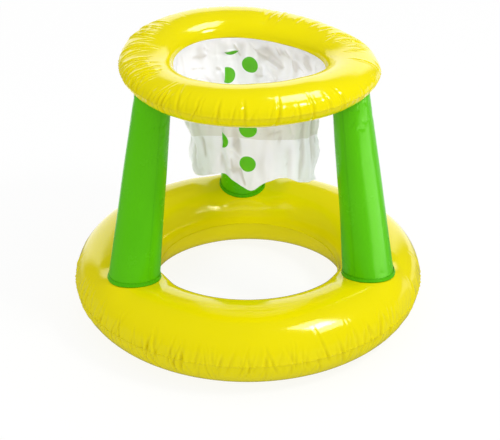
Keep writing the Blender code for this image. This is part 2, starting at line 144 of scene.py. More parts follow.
# How far the soft rim is out of round: cosine and sine share of each wave
RIM_PULL_TWICE = (-0.0006, -0.0029)
RIM_PULL_THRICE = (0.0022, 0.0021)
RIM_LIFT_TWICE = (-0.0024, -0.0031)
RIM_SWELL_ONCE = (0.0003, 0.0025)
RIM_SWELL_TWICE = (-0.0039, -0.0012)

# Where the rim's tube swells or thins: bearing, how far it spreads in degrees, and how far out
RIM_LUMPS = (
    (88, 7, 0.0011), (73, 6, -0.0014), (-118, 9, 0.0008), (-84, 6, 0.0007), (-56, 8, 0.0008),
    (100, 7, 0.0006), (160, 8, 0.0010), (190, 10, -0.0010), (18, 9, 0.0010), (45, 7, -0.0008),
    (118, 10, 0.0007),
)

# Each post: how far its foot and head stand out from the rings' centrelines, and their bearings,
# the bearing that its long weld faces, and the plane that its foot pulls the base film to: how much
# of the post's lean it takes on, how far it lies below the top of the ring, and how far off it eases
POSTS = {
    "rear": ((-0.0067, 92.8), (0.0033, 91.5), 60.0, (1.20, 0.0128, 0.062)),
    "left": ((-0.0067, 213.6), (0.0033, 209.5), -57.0, (0.45, 0.0045, 0.036)),
    "right": ((-0.0028, 330.8), (0.0108, 336.5), -124.0, (0.65, 0.0055, 0.036)),
}
# How much of its plane a foot pulls the film to, how far round the foot that is whole, and the height
# above the ring's middle over which it fades
PULL_SHARE = 0.85
PULL_EDGE = 0.0013
PULL_HEIGHT = 0.030
# Along a post's tube: how far the close columns reach beside the weld, the softness of the weld's
# edge, the width of its strip and of the strip's own fade, and how far the pleats of both ends reach
POST_WIDTHS = (0.011, 0.0004, 0.0056, 0.0022, 0.011, 0.014)
# Small creases of a post's film: count, whether their heights are drawn down from the head, that range,
# the steepest slope, the longest, widths and depths. A range's end below zero is a share of the length.
POST_CREASES = (
    (26, True, (0.004, 0.055), 0.9, 0.022, (0.0016, 0.0030), (0.0003, 0.0010)),
    (14, False, (0.006, -0.8), 0.6, 0.020, (0.0020, 0.0040), (0.0002, 0.0005)),
)
# Round a post: how often its end pleats go round, and its dents by times round and half waves up
POST_PLEATS = (31, 44, 57)
POST_DENTS = ((2, 1), (3, 2), (1, 3), (4, 3))
# End discs: shares of the foot's radius at which a foot's rings of points lie, and how far the edges
# of foot and head stand out from the tube
FOOT_SHARES = (0, 0.25, 0.5, 0.75, 0.93, 1.0)
FOOT_EDGE = 0.0010
HEAD_EDGE = 0.0012
# A foot's collar: how far it stands off the tube at its turn, how often its edge waves round it, and
# how far out and up
COLLAR_FLARE = 0.0016
COLLAR_WAVES = (17, 26, 39, 52)
COLLAR_WAVE_OUT, COLLAR_WAVE_UP = 0.00022, 0.05

# Net: bearing and how far the hem hangs below the rim's seam; folds by bearing, width and depth; one
# tuck that draws in the hem, with its start as a share of the drop; and the powers by which the film
# draws in and its folds open on the way down
NET_HEM = (
    (-172, 0.2060), (-159, 0.1960), (-146, 0.1905), (-131, 0.1775), (-121, 0.1705), (-113, 0.1740),
    (-107, 0.1805), (-100, 0.1905), (-92, 0.1978), (-84, 0.1868), (-76, 0.1790), (-66, 0.1770),
    (-56, 0.1832), (-42, 0.1995), (-24, 0.2135), (-5, 0.2195), (25, 0.2195), (60, 0.2035), (92, 0.1915),
    (125, 0.2005), (160, 0.2100),
)
NET_FOLDS = (
    (-172, 9, 0.004), (-150, 9, -0.002), (-118, 7, 0.008), (-97, 8, 0.006), (-58, 10, 0.005),
    (-34, 8, 0.004), (-9, 8, -0.004), (24, 9, 0.006), (58, 10, 0.005), (88, 8, 0.007), (112, 7, 0.008),
    (140, 10, 0.005), (165, 8, -0.003),
)
NET_TUCK = (176, 28, 0.012, 0.80)
NET_DRAW_POWER = 1.7
NET_LOOSE_POWER = 0.7
# Soft bulges: bearing and height, how far they spread in degrees and metres, and how far out
NET_BULGES = (
    (-172, 0.356, 30, 0.026, -0.0086), (-172, 0.300, 22, 0.014, 0.0022), (0, 0.430, 26, 0.018, -0.0030),
    (-143, 0.365, 8, 0.020, 0.0030), (2, 0.366, 26, 0.014, -0.0048), (0, 0.324, 16, 0.010, 0.0030),
    (-2, 0.288, 26, 0.016, -0.0062), (-118, 0.372, 6, 0.030, 0.0034), (-106, 0.385, 7, 0.030, -0.0020),
    (-52, 0.360, 14, 0.030, 0.0020), (-30, 0.330, 9, 0.040, 0.0022), (72, 0.458, 9, 0.016, 0.0042),
    (58, 0.476, 6, 0.012, -0.0035), (45, 0.455, 6, 0.016, 0.0034), (108, 0.486, 9, 0.010, -0.0040),
    (132, 0.455, 12, 0.022, 0.0024), (96, 0.425, 8, 0.020, 0.0022), (180, 0.396, 22, 0.014, 0.0055),
    (-2, 0.400, 20, 0.014, -0.0032),
)
# Creases in the film: start and end as bearing and height, width and depth, a ridge below zero
NET_CREASES = (
    (-114.5, 0.428, -117.8, 0.368, 0.0050, 0.0030), (-117.8, 0.370, -122.5, 0.318, 0.0040, 0.0022),
    (-102.0, 0.3400, -96.5, 0.2960, 0.0022, 0.0026), (-109.5, 0.368, -107.5, 0.318, 0.0030, 0.0018),
    (-112.5, 0.350, -106.5, 0.318, 0.0026, -0.0014), (-136.5, 0.392, -136.0, 0.340, 0.0026, 0.0024),
    (-151.0, 0.392, -153.0, 0.340, 0.0026, 0.0014), (-131.0, 0.372, -130.0, 0.316, 0.0026, -0.0016),
    (-88.0, 0.340, -92.5, 0.297, 0.0026, -0.0014), (-74.0, 0.402, -68.0, 0.3930, 0.0016, 0.0012),
    (-70.0, 0.420, -71.5, 0.398, 0.0014, 0.0012), (-61.0, 0.440, -52.0, 0.392, 0.0030, 0.0014),
    (-41.0, 0.452, -38.0, 0.296, 0.0030, 0.0020), (-27.0, 0.440, -24.0, 0.284, 0.0028, 0.0022),
    (-16.0, 0.372, -12.0, 0.345, 0.0022, -0.0020), (-20.0, 0.450, -24.0, 0.385, 0.0030, 0.0022),
    (104.0, 0.491, 97.0, 0.458, 0.0018, 0.0030), (114.0, 0.4705, 100.0, 0.4722, 0.0022, 0.0040),
    (147.0, 0.4750, 123.0, 0.4690, 0.0026, 0.0022), (125.0, 0.4690, 103.0, 0.4625, 0.0024, -0.0016),
    (112.0, 0.4520, 98.0, 0.4530, 0.0024, -0.0016), (121.5, 0.4455, 115.0, 0.4360, 0.0018, 0.0024),
    (115.5, 0.4390, 114.8, 0.4080, 0.0022, 0.0030), (83.5, 0.4730, 72.0, 0.4590, 0.0030, 0.0030),
    (74.0, 0.4640, 56.0, 0.4430, 0.0026, 0.0030), (77.0, 0.4540, 62.0, 0.4380, 0.0030, -0.0020),
    (57.5, 0.4860, 50.0, 0.4600, 0.0022, 0.0036), (51.0, 0.4640, 44.0, 0.4400, 0.0024, 0.0032),
    (51.0, 0.4700, 30.0, 0.4450, 0.0020, -0.0026), (43.5, 0.4870, 28.0, 0.4760, 0.0020, 0.0028),
    (40.0, 0.4640, 24.0, 0.4580, 0.0020, 0.0024), (66.0, 0.4860, 60.0, 0.4660, 0.0020, 0.0024),
    (90.0, 0.4880, 84.0, 0.4760, 0.0022, 0.0016), (88.0, 0.4260, 70.0, 0.4230, 0.0028, 0.0018),
)
# Small seeded creases of the net's film: ranges of drop, length, depth and width, and how far they
# stray from upright, in degrees
NET_SMALL_CREASES = {
    "drops": (0.01, 0.19), "lengths": (0.014, 0.060), "depths": (0.0005, 0.0022),
    "widths": (0.0014, 0.0040), "stray": 38,
}
# Ripples of the net's film: how often they go round, the most that each metre of drop turns them, and
# the drop over which the film's relief comes in below the seam
NET_RIPPLES = ((7, 11, 13, 17, 19, 23, 29), 70, 0.014)
# Painted shade along the film's folds, where it looks greyer: start and end, width and how much
NET_SHADES = (
    (88.0, 0.4790, 52.0, 0.4360, 0.0090, 1.6), (64.0, 0.4860, 44.0, 0.4440, 0.0050, 1.3),
    (40.0, 0.4800, 24.0, 0.4480, 0.0070, 1.2), (92.0, 0.4830, 66.0, 0.4500, 0.0012, 1.2),
    (52.0, 0.4600, 34.0, 0.4420, 0.0012, 1.0), (150.0, 0.4560, 128.0, 0.4440, 0.0014, 0.8),
    (104.0, 0.4900, 97.0, 0.4600, 0.0014, 0.9), (147.0, 0.4730, 123.0, 0.4670, 0.0030, 0.4),
    (121.5, 0.4450, 115.0, 0.4360, 0.0014, 0.6), (-118.5, 0.425, -121.0, 0.368, 0.0060, -0.9),
    (-114.0, 0.400, -110.0, 0.320, 0.0110, 0.5), (-102.0, 0.3400, -96.5, 0.2960, 0.0016, 1.0),
    (-109.5, 0.368, -107.5, 0.318, 0.0040, 0.5), (-136.0, 0.394, -135.5, 0.340, 0.0024, 0.8),
    (-144.0, 0.385, -144.0, 0.345, 0.0060, -0.7), (-160.0, 0.370, -163.0, 0.300, 0.0140, 0.8),
    (-12.0, 0.430, -12.0, 0.290, 0.0160, 0.6), (-68.0, 0.396, -63.0, 0.392, 0.0050, 0.9),
    (-80.0, 0.375, -48.0, 0.360, 0.0150, 0.35), (-38.0, 0.380, -36.0, 0.310, 0.0060, 0.5),
    (-84.0, 0.350, -60.0, 0.335, 0.0200, -0.4),
)
# Lower edge of the greyer band on the net's outside under the rim, by bearing and height
NET_STRIP = (
    (-180, 0.3660), (-161, 0.3695), (-137, 0.3892), (-123, 0.3966), (-105, 0.4006), (-85, 0.3990),
    (-50, 0.3853), (-30, 0.3745), (0, 0.3660), (60, 0.3850), (120, 0.3850),
)
# Printed dots, by bearing and height. Where the film folds over a dot, the fold's line follows from
# one place to another, and the part of the dot to the left of it, as seen from outside, is hidden.
NET_DOTS = (
    ((-92.5, 0.4180), None), ((-117.2, 0.3912), (-115.3, 0.4120, -117.0, 0.3720)), ((-94.5, 0.3482), None),
    ((-115.0, 0.4520), None), ((-93.0, 0.4780), None), ((106.0, 0.4800), (112.5, 0.4716, 101.0, 0.4728)),
    ((90.0, 0.4443), None), ((111.0, 0.4264), (115.6, 0.4147, 113.6, 0.4340)), ((88.0, 0.3850), None),
    ((108.5, 0.3650), None),
)
DOT_STRETCH = 1.05

# Valve, along its own axis out of the skin: the cap hinge's place, the radii of the hole in the film,
# the bore, the neck, the inner lip and the flange, how far the film lies flat and where that has
# eased away, and how far the film's outer and inner walls lie under the seat. Only film within the
# near distance of the seat's plane is moved.
VALVE = {
    "hinge_reach": 0.0076, "hinge_height": 0.0103, "hole": 0.0047, "bore": 0.0030, "neck": 0.0042,
    "lip": 0.0060, "flange": 0.0090, "flat": 0.0110, "flat_ease": 0.0270, "near": 0.02,
    "sink": 0.0001, "inner_sink": 0.0010,
}

# Lamps and reflector cards: place, the spot they face, width and height, the setting that gives their
# power, and the share of it
LAMPS = {
    "right_lamp": ((1.36, -0.80, 2.05), (0.0, 0.0, 0.3), (0.55, 0.45), "key", 1.0),
    "base_card": ((1.36, -0.80, 2.06), (0.0, 0.0, 0.3), (0.75, 1.35), "card", 1.0),
    "rim_card": ((0.897, 0.306, 2.51), (0.1, -0.1, 0.5), (1.05, 0.8), "card", 1.0),
    "post_card": ((0.74, -0.48, 0.22), (0.23, -0.13, 0.26), (0.84, 0.42), "card", 0.15),
}
FLOOR_DROP = 0.0005

# Camera: place, degrees that it looks down and rolls, and its lens and sensor in millimetres
CAMERA_PLACE = (0.0039, -1.948, 1.2332)
CAMERA_TURN = (28.57, -0.15)
CAMERA_LENS = (82.8, 36.0)


def ease(x):
    """Runs smoothly from 0 to 1 as x does: three x squared less two x cubed."""
    x = np.clip(x, 0.0, 1.0)
    return x * x * (3 - 2 * x)


def wave(shares, times, bearing):
    """A cosine and a sine share of a wave that goes round the ring the given number of times."""
    return shares[0] * np.cos(times * bearing) + shares[1] * np.sin(times * bearing)


def bell(degrees, centre, width):
    """One at the centre: e to the minus square of the bearing's distance from it over the width."""
    apart = (degrees - centre + 180) % 360 - 180
    return np.exp(-((apart / width) ** 2))


def round_stops(stops, degrees):
    """Value at each bearing on a cubic through the stops round the ring, whose slope at a stop is
    that of the straight line between the stops beside it."""
    bearings = np.array([stop[0] for stop in stops], float) % 360
    values = np.array([stop[1] for stop in stops], float)
    order = np.argsort(bearings)
    bearings, values = bearings[order], values[order]
    spans = (np.roll(bearings, -1) - bearings) % 360
    slopes = (np.roll(values, -1) - np.roll(values, 1)) / (spans + np.roll(spans, 1))
    last = np.searchsorted(bearings, degrees % 360, side="right") - 1
    following = (last + 1) % len(stops)
    span = spans[last]
    t = ((degrees - bearings[last]) % 360) / span
    return ((2 * t ** 3 - 3 * t ** 2 + 1) * values[last] + (t ** 3 - 2 * t ** 2 + t) * span * slopes[last]
            + (3 * t ** 2 - 2 * t ** 3) * values[following] + (t ** 3 - t ** 2) * span * slopes[following])


class BaseRing:
    """The base tube: a round ring of elliptical section, pressed on the floor."""
    rounding, lumps = FLOOR_ROUNDING, ()

    def __init__(self, sizes):
        self.half_width = sizes.tube_width / 2
        self.half_height = (sizes.height + sizes.floor_press) / 2
        self.radius = sizes.outer_diameter / 2 - self.half_width
        self.centre = sizes.height - self.half_height

    def place(self, bearing, across, up):
        """Points at a bearing, so far across and up from the tube's centreline."""
        reach = self.radius + across
        parts = np.broadcast_arrays(reach * np.cos(bearing), reach * np.sin(bearing), self.centre + up)
        return np.stack(parts, axis=-1)

    def inside(self, points, clearance):
        """Where the squared shares of the grown section's half axes add up to less than one."""
        across = (np.hypot(points[..., 0], points[..., 1]) - self.radius) / (self.half_width + clearance)
        up = (points[..., 2] - self.centre) / (self.half_height + clearance)
        return across ** 2 + up ** 2 < 1


class RimRing:
    """The rim tube: tilted, a little out of round, and swelling and thinning round its way."""
    rounding, lumps = 0.0, RIM_LUMPS

    def __init__(self, sizes):
        self.half_width = sizes.tube_width / 2
        self.half_height = sizes.tube_height / 2
        self.radius = sizes.radius
        tilt = Matrix.Rotation(sizes.tilt_y, 3, "Y") @ Matrix.Rotation(sizes.tilt_x, 3, "X")
        self.tilt = np.array(tilt)
        self.middle = np.array((sizes.shift_x, 0.0, sizes.seam_height))

    def shape(self, bearing):
        """Centreline radius, lift and tube scale at a bearing, each a sum of waves."""
        radius = self.radius + wave(RIM_PULL_TWICE, 2, bearing) + wave(RIM_PULL_THRICE, 3, bearing)
        swell = wave(RIM_SWELL_ONCE, 1, bearing) + wave(RIM_SWELL_TWICE, 2, bearing)
        return radius, wave(RIM_LIFT_TWICE, 2, bearing), 1 + swell / self.half_width

    def place(self, bearing, across, up):
        """Points at a bearing, so far across and up from the tube's centreline."""
        radius, lift, scale = self.shape(bearing)
        reach = radius + across * scale
        parts = np.broadcast_arrays(reach * np.cos(bearing), reach * np.sin(bearing), lift + up * scale)
        return np.stack(parts, axis=-1) @ self.tilt.T + self.middle

    def inside(self, points, clearance):
        """Where the squared shares of the grown section's half axes add up to less than one."""
        local = (points - self.middle) @ self.tilt
        radius, lift, scale = self.shape(np.arctan2(local[..., 1], local[..., 0]))
        across = np.hypot(local[..., 0], local[..., 1]) - radius
        across = across / (self.half_width * scale + clearance)
        up = (local[..., 2] - lift) / (self.half_height * scale + clearance)
        return across ** 2 + up ** 2 < 1


def slide_to(ring, start, direction, clearance):
    """Where lines first meet a ring: 2 mm steps until one is inside, then halving that step."""
    step, longest, halvings = 0.002, 0.3, 26
    steps = np.arange(0.0, longest, step)
    hit = ring.inside(start[:, None] + direction[:, None] * steps[:, None], clearance)
    far = steps[hit.argmax(axis=1)]
    near = far - step
    for _ in range(halvings):
        middle = (near + far) / 2
        within = ring.inside(start + direction * middle[:, None], clearance)
        far = np.where(within, middle, far)
        near = np.where(within, near, middle)
    return start + direction * near[:, None]


def pleat_lines(seed, count, widths, depths, above, below):
    """Pleats at even steps round a ring, each shifted by up to 0.45 of a step. The other columns
    are a half width, a depth, its lower and upper end along the film and its slant."""
    draw = np.random.default_rng(seed)
    bearing = (np.arange(count) + draw.uniform(-0.45, 0.45, count)) / count * TURN
    strength = draw.uniform(0, 1, count) ** 1.6
    return np.stack([
        bearing,
        draw.uniform(*widths, count),
        depths[0] + (depths[1] - depths[0]) * strength,
        -(below[0] + (below[1] - below[0]) * draw.uniform(0, 1, count)),
        above[0] + (above[1] - above[0]) * strength * draw.uniform(0.6, 1, count),
        draw.uniform(-0.5, 0.5, count),
    ], axis=1)


def crossing_pleats(seed, bearings, count, widths, depths, low_ends, high_ends):
    """Pleats that run over the tube within a range of bearings, from one end along the film to
    the other, each end drawn at random from its own range."""
    draw = np.random.default_rng(seed)
    bearings = (math.radians(bearing) for bearing in bearings)
    return np.stack([draw.uniform(*span, count)
                     for span in (bearings, widths, depths, low_ends, high_ends, (-0.35, 0.35))], axis=1)


def ring_pleats(name, count):
    """All pleats of a ring, one a row: at its outer weld, over its tube and placed one by one."""
    seed, *ranges = WELD_PLEATS[name]
    placed = np.array(PLACED_PLEATS[name], float).reshape(-1, 6)
    placed[:, 0] = np.radians(placed[:, 0])
    return np.concatenate([pleat_lines(seed, count, *ranges),
                           *(crossing_pleats(*row) for row in CROSSING_PLEATS[name]), placed])


def pleated(bearing, arc, radius, pleats):
    """Height of gathered film over its smooth shape, on rows along it and columns round the ring.
    With x the distance from a pleat's line over its half width, it is depth times half of e to the
    minus (x less 1.5) squared, less e to the minus 1.7 x rounded at the line. Along the pleat, it
    eases in and out at both ends."""
    height = np.zeros((len(arc), len(bearing)))
    for line, width, depth, low, high, slant in pleats:
        window = ease((arc - low) / (0.35 * (high - low))) * ease((high - arc) / (0.55 * (high - low)))
        rows = window > 0
        if not rows.any():
            continue
        lean = slant * (arc[rows, None] - (low + high) / 2) / radius
        apart = (bearing[None, :] - line - lean + math.pi) % TURN - math.pi
        near = np.nonzero((np.abs(apart) < 5 * width / radius).any(axis=0))[0]
        x = np.abs(apart[:, near]) * radius / width
        shape = 0.5 * np.exp(-((x - 1.5) ** 2)) - np.exp(-1.7 * (np.sqrt(x ** 2 + 0.09) - 0.3))
        height[np.ix_(rows, near)] += depth * window[rows, None] * shape
    return height


def creased(across, down, lines):
    """Height of film beside straight creases. At distance d from a crease it is minus its depth
    times e to the minus (d over its width), rounded at the very line, and it eases out at its ends.
    A line holds its start, its end, its width and its depth, and a ridge has a depth below zero."""
    height = np.zeros(np.broadcast(across, down).shape)
    for start_across, start_down, end_across, end_down, width, depth in lines:
        run = np.array((end_across - start_across, end_down - start_down))
        length = np.hypot(*run)
        run /= length
        along = (across - start_across) * run[0] + (down - start_down) * run[1]
        off = np.abs((down - start_down) * run[0] - (across - start_across) * run[1])
        fade = ease(along / length / 0.3) * ease((1 - along / length) / 0.3)
        height -= depth * fade * np.exp(-(np.sqrt(off ** 2 + (0.25 * width) ** 2) / width - 0.25))
    return height


def crease_ends(middle, slope, reach):
    """Start and end of a straight crease: half its length to each side of its middle."""
    step = np.array((math.cos(slope), math.sin(slope))) * reach / 2
    return (*(middle - step), *(middle + step))


def waves(draw, turn, counts):
    """The mean of sine waves that go round a tube, each from a drawn start."""
    return sum(np.sin(times * turn + draw.uniform(0, TURN)) for times in counts) / len(counts)


def grid_quads(rows, columns, close_rows):
    """Corner indices of a grid that is closed round its columns, and if asked over its rows, with
    the same corners as row and column numbers that don't wrap, for the UV map."""
    row = np.arange(rows if close_rows else rows - 1)[:, None]
    column = np.arange(columns)[None, :]
    row, column = (part.ravel() for part in np.broadcast_arrays(row, column))
    corner_row = np.stack([row, row, row + 1, row + 1], axis=1)
    corner_column = np.stack([column, column + 1, column + 1, column], axis=1)
    index = (corner_row % rows) * columns + corner_column % columns
    return index, corner_row, corner_column


def grid_piece(name, points, along_columns, along_rows, close_rows=False, values=None):
    """A mesh object from a grid of points closed round its columns, its faces turned outwards.
    The UV map holds metres along the columns and rows, and values are float attributes."""
    rows, columns = points.shape[:2]
    index, corner_row, corner_column = grid_quads(rows, columns, close_rows)
    flat = points.reshape(-1, 3)
    if inside_out(flat, index):
        index, corner_row, corner_column = index[:, ::-1], corner_row[:, ::-1], corner_column[:, ::-1]
    mesh = bpy.data.meshes.new(name)
    mesh.vertices.add(len(flat))
    mesh.vertices.foreach_set("co", np.ascontiguousarray(flat, np.float32).ravel())
    mesh.loops.add(index.size)
    mesh.loops.foreach_set("vertex_index", np.ascontiguousarray(index, np.int32).ravel())
    mesh.polygons.add(len(index))
    mesh.polygons.foreach_set("loop_start", np.arange(0, index.size, 4, dtype=np.int32))
    mesh.update(calc_edges=True)
    table_column = np.append(along_columns, along_columns[-1] + along_columns[1] - along_columns[0])
    uv = np.stack([table_column[corner_column], along_rows[corner_row % rows]], axis=-1)
    layer = mesh.uv_layers.new(name="film")
    layer.data.foreach_set("uv", uv.astype(np.float32).ravel())
    for label, value in (values or {}).items():
        attribute = mesh.attributes.new(label, "FLOAT", "POINT")
        attribute.data.foreach_set("value", np.ascontiguousarray(value, np.float32).ravel())
    piece = bpy.data.objects.new(name, mesh)
    bpy.context.scene.collection.objects.link(piece)
    mesh.shade_smooth()
    return piece


def inside_out(points, index):
    """Whether the signed volume is below zero: a sixth of the sum of the triple products of each
    quad's two triangles, about the middle of the points."""
    a, b, c, d = (points[index[:, corner]] - points.mean(axis=0) for corner in range(4))
    return np.einsum("ij,ij->", a, np.cross(b, c)) + np.einsum("ij,ij->", a, np.cross(c, d)) < 0


def merge_poles(piece, sharp_degrees=None):
    """Joins the points that share a place, as at a pole, and marks sharp edges if asked."""
    shape = bmesh.new()
    shape.from_mesh(piece.data)
    bmesh.ops.remove_doubles(shape, verts=shape.verts, dist=1e-6)
    bmesh.ops.recalc_face_normals(shape, faces=shape.faces)
    shape.to_mesh(piece.data)
    shape.free()
    piece.data.shade_smooth()
    if sharp_degrees:
        piece.data.set_sharp_from_angle(angle=math.radians(sharp_degrees))
    return piece


def apply_modifiers(piece):
    """The piece keeps its finished mesh and loses its modifiers."""
    graph = bpy.context.evaluated_depsgraph_get()
    old = piece.data
    piece.data = bpy.data.meshes.new_from_object(piece.evaluated_get(graph))
    piece.modifiers.clear()
    piece.data.name = piece.name
    bpy.data.meshes.remove(old)
    return piece


def wall_film(piece, thickness):
    """Gives an open sheet its thickness, on the side that its faces turn away from."""
    wall = piece.modifiers.new("film", "SOLIDIFY")
    wall.thickness = thickness
    wall.offset = -1
    wall.use_even_offset = False
    wall.use_rim = True
    return apply_modifiers(piece)


def boolean(piece, tool, operation):
    """Cuts a closed tool out of the piece or joins it on, and removes the tool."""
    change = piece.modifiers.new("tool", "BOOLEAN")
    change.operation = operation
    change.solver = "EXACT"
    change.object = tool
    apply_modifiers(piece)
    mesh = tool.data
    bpy.data.objects.remove(tool)
    bpy.data.meshes.remove(mesh)
    return piece


def turned_piece(name, outline, sides, closed, seat):
    """A profile of radius and height turned about a seat's Z: r cos a, r sin a, z. A closed outline
    makes a ring, and an open one starts and ends on the axis."""
    outline = np.array(outline, float)
    angle = np.arange(sides) / sides * TURN
    points = np.stack(np.broadcast_arrays(outline[:, :1] * np.cos(angle), outline[:, :1] * np.sin(angle),
                                          outline[:, 1:2]), axis=-1)
    steps = np.linalg.norm(np.diff(outline, axis=0, prepend=outline[:1]), axis=1)
    piece = grid_piece(name, points, angle * outline[:, 0].max(), np.cumsum(steps), closed)
    merge_poles(piece, 50)
    piece.data.transform(Matrix(seat))
    return piece


def rounded(outline, bend, steps=3):
    """An outline whose corners are cut by quarter bends: each is a quadratic curve between the
    points at the bend's distance before and after it."""
    outline = np.array(outline, float)
    before, after = np.roll(outline, 1, axis=0), np.roll(outline, -1, axis=0)
    made = []
    for corner, last, following in zip(outline, before, after):
        to_last, to_next = last - corner, following - corner
        start = corner + to_last / np.hypot(*to_last) * min(bend, 0.45 * np.hypot(*to_last))
        end = corner + to_next / np.hypot(*to_next) * min(bend, 0.45 * np.hypot(*to_next))
        share = np.linspace(0, 1, steps + 1)[:, None]
        made.append((1 - share) ** 2 * start + 2 * share * (1 - share) * corner + share ** 2 * end)
    return np.concatenate(made)


def valve_seats():
    """Each valve's frame from its joints: Z out of the skin against the stem's push, Y along the
    cap's hinge, and the origin under the hinge by its reach and height."""
    joints = {joint["name"]: joint for joint in frame["joints"]}
    seats = {}
    for chamber in CHAMBERS:
        push, hinge = joints[f"{chamber}_stem_push"], joints[f"{chamber}_cap_hinge"]
        outward = -Vector(push["axis"]).normalized()
        side = Vector(hinge["axis"]).normalized()
        upward = side.cross(outward).normalized()
        turn = Matrix((upward, outward.cross(upward), outward)).transposed()
        origin = Vector(hinge["pos_m"]) - upward * VALVE["hinge_reach"] - outward * VALVE["hinge_height"]
        seats[chamber] = np.array(Matrix.Translation(origin) @ turn.to_4x4())
    return seats


def sink_under_valve(points, seat, depth):
    """Film near a valve lies flat: a point above the seat's plane sinks to the depth under it,
    wholly within 11 mm of the axis and easing to nothing at 27 mm."""
    turn, origin = seat[:3, :3], seat[:3, 3]
    local = (points - origin) @ turn
    reach = np.hypot(local[..., 0], local[..., 1])
    near = 1 - ease((reach - VALVE["flat"]) / (VALVE["flat_ease"] - VALVE["flat"]))
    near = np.where(np.abs(local[..., 2]) < VALVE["near"], near, 0.0)
    return points - (near * np.maximum(local[..., 2] + depth, 0.0))[..., None] * turn[:, 2]


def cut_stem_hole(piece, seat):
    """A round hole through the film for the valve's stem."""
    depth = 0.006
    outline = [(0, -depth), (VALVE["hole"], -depth), (VALVE["hole"], depth), (0, depth)]
    return boolean(piece, turned_piece("hole", outline, 40, False, seat), "DIFFERENCE")


def ring_film(name, ring, side, pleats, columns, rows, seat=None, keep_off=(), feet=()):
    """One film of a ring, the upper (+1) or the lower (-1), as a thin closed shell. Its section is
    half an ellipse by its own angle, from the outer weld lip to the inner one, drawn out to the lips
    by e to the minus the distance from the weld over the lip's bend, and raised along its normal by
    the pleats. An inner wall closes it at a film's thickness or a little more. Posts that stand on
    it pull it to the planes of their feet."""
    bearing = np.arange(columns) / columns * TURN
    even, close = math.pi * np.linspace(0, 1, rows) ** ROW_POWER, np.array(WELD_ROWS)
    turn = np.sort(np.concatenate([even, close, math.pi - close]))
    sweep = np.linspace(0, math.pi, SECTION_STEPS)
    lengths = np.hypot(ring.half_width * np.sin(sweep), ring.half_height * np.cos(sweep)) * sweep[1]
    run = np.append(0.0, np.cumsum(lengths)[:-1])
    outer_radius = ring.radius + ring.half_width

    def wall(turns, shrink, low, sunk):
        """Section rows at the given angles, drawn in by shrink and with their ends at height low."""
        arc = side * np.interp(turns, sweep, run)
        height = pleated(bearing, arc, outer_radius, pleats)
        middle = ring.place(bearing[None, :], ring.half_width * np.cos(turns)[:, None],
                            side * ring.half_height * np.sin(turns)[:, None])
        for centre, spread, out in ring.lumps:
            height += out * bell(np.degrees(bearing), centre, spread) * np.sin(turns)[:, None]
        for spot, inner, outer in keep_off:
            height *= ease((np.linalg.norm(middle - spot, axis=-1) - inner) / (outer - inner))
        if sunk:
            height = np.minimum(height, 0.0)
        normal = np.stack([np.cos(turns) / ring.half_width, np.sin(turns) / ring.half_height])
        normal = (normal / np.linalg.norm(normal, axis=0))[:, :, None]
        across = (ring.half_width - shrink) * np.cos(turns)[:, None] + normal[0] * height
        up = low + (ring.half_height - shrink - low) * np.sin(turns)[:, None] + normal[1] * height
        if not sunk:
            from_weld = run[-1] / 2 - np.abs(np.interp(turns, sweep, run) - run[-1] / 2)
            bend = LIP_SHARES[0] * LIP * np.exp(-from_weld / LIP_BEND)
            across = across + (bend * np.sign(np.cos(turns)))[:, None]
        return arc, across, side * up, height

    arc, across, up, height = wall(turn, 0.0, LIP_HEIGHT, False)
    inner_turn = math.pi * np.linspace(1, 0, INNER_ROWS)
    arc_in, across_in, up_in, _ = wall(inner_turn, INNER_WALL_INSET, WELD_GAP / 2, True)
    low = np.full((1, columns), side * WELD_GAP / 2)
    high = np.full((1, columns), side * LIP_HEIGHT)
    tip = LIP_SHARES[1] * LIP
    outer_tip, inner_tip = across[:1] + tip, across[-1:] - tip
    across = np.concatenate([outer_tip, across, inner_tip, inner_tip, across_in, outer_tip])
    up = np.concatenate([high, up, high, low, up_in, low])
    points = ring.place(bearing[None, :], across, up)
    if side < 0:  # the floor presses the film flat: half of z and the root of z squared plus a little
        points[..., 2] = (points[..., 2] + np.sqrt(points[..., 2] ** 2 + ring.rounding ** 2)) / 2
    if feet:
        points = lifted(points, feet)
    if seat is not None:
        outside = len(turn) + 2
        points[:outside] = sink_under_valve(points[:outside], seat, VALVE["sink"])
        points[outside:] = sink_under_valve(points[outside:], seat, VALVE["inner_sink"])
    start, end = np.array([arc[0] - side * LIP]), np.array([arc[-1] + side * LIP])
    along_rows = np.concatenate([start, arc, end, end, arc_in, start])
    empty = np.zeros((1, columns))
    gather = np.concatenate([empty, height, empty, empty, np.zeros_like(across_in), empty])
    piece = grid_piece(name, points, bearing * outer_radius, along_rows, True, {"gather": gather * 1000})
    piece.data.set_sharp_from_angle(angle=math.radians(60))
    return cut_stem_hole(piece, seat) if seat is not None else piece


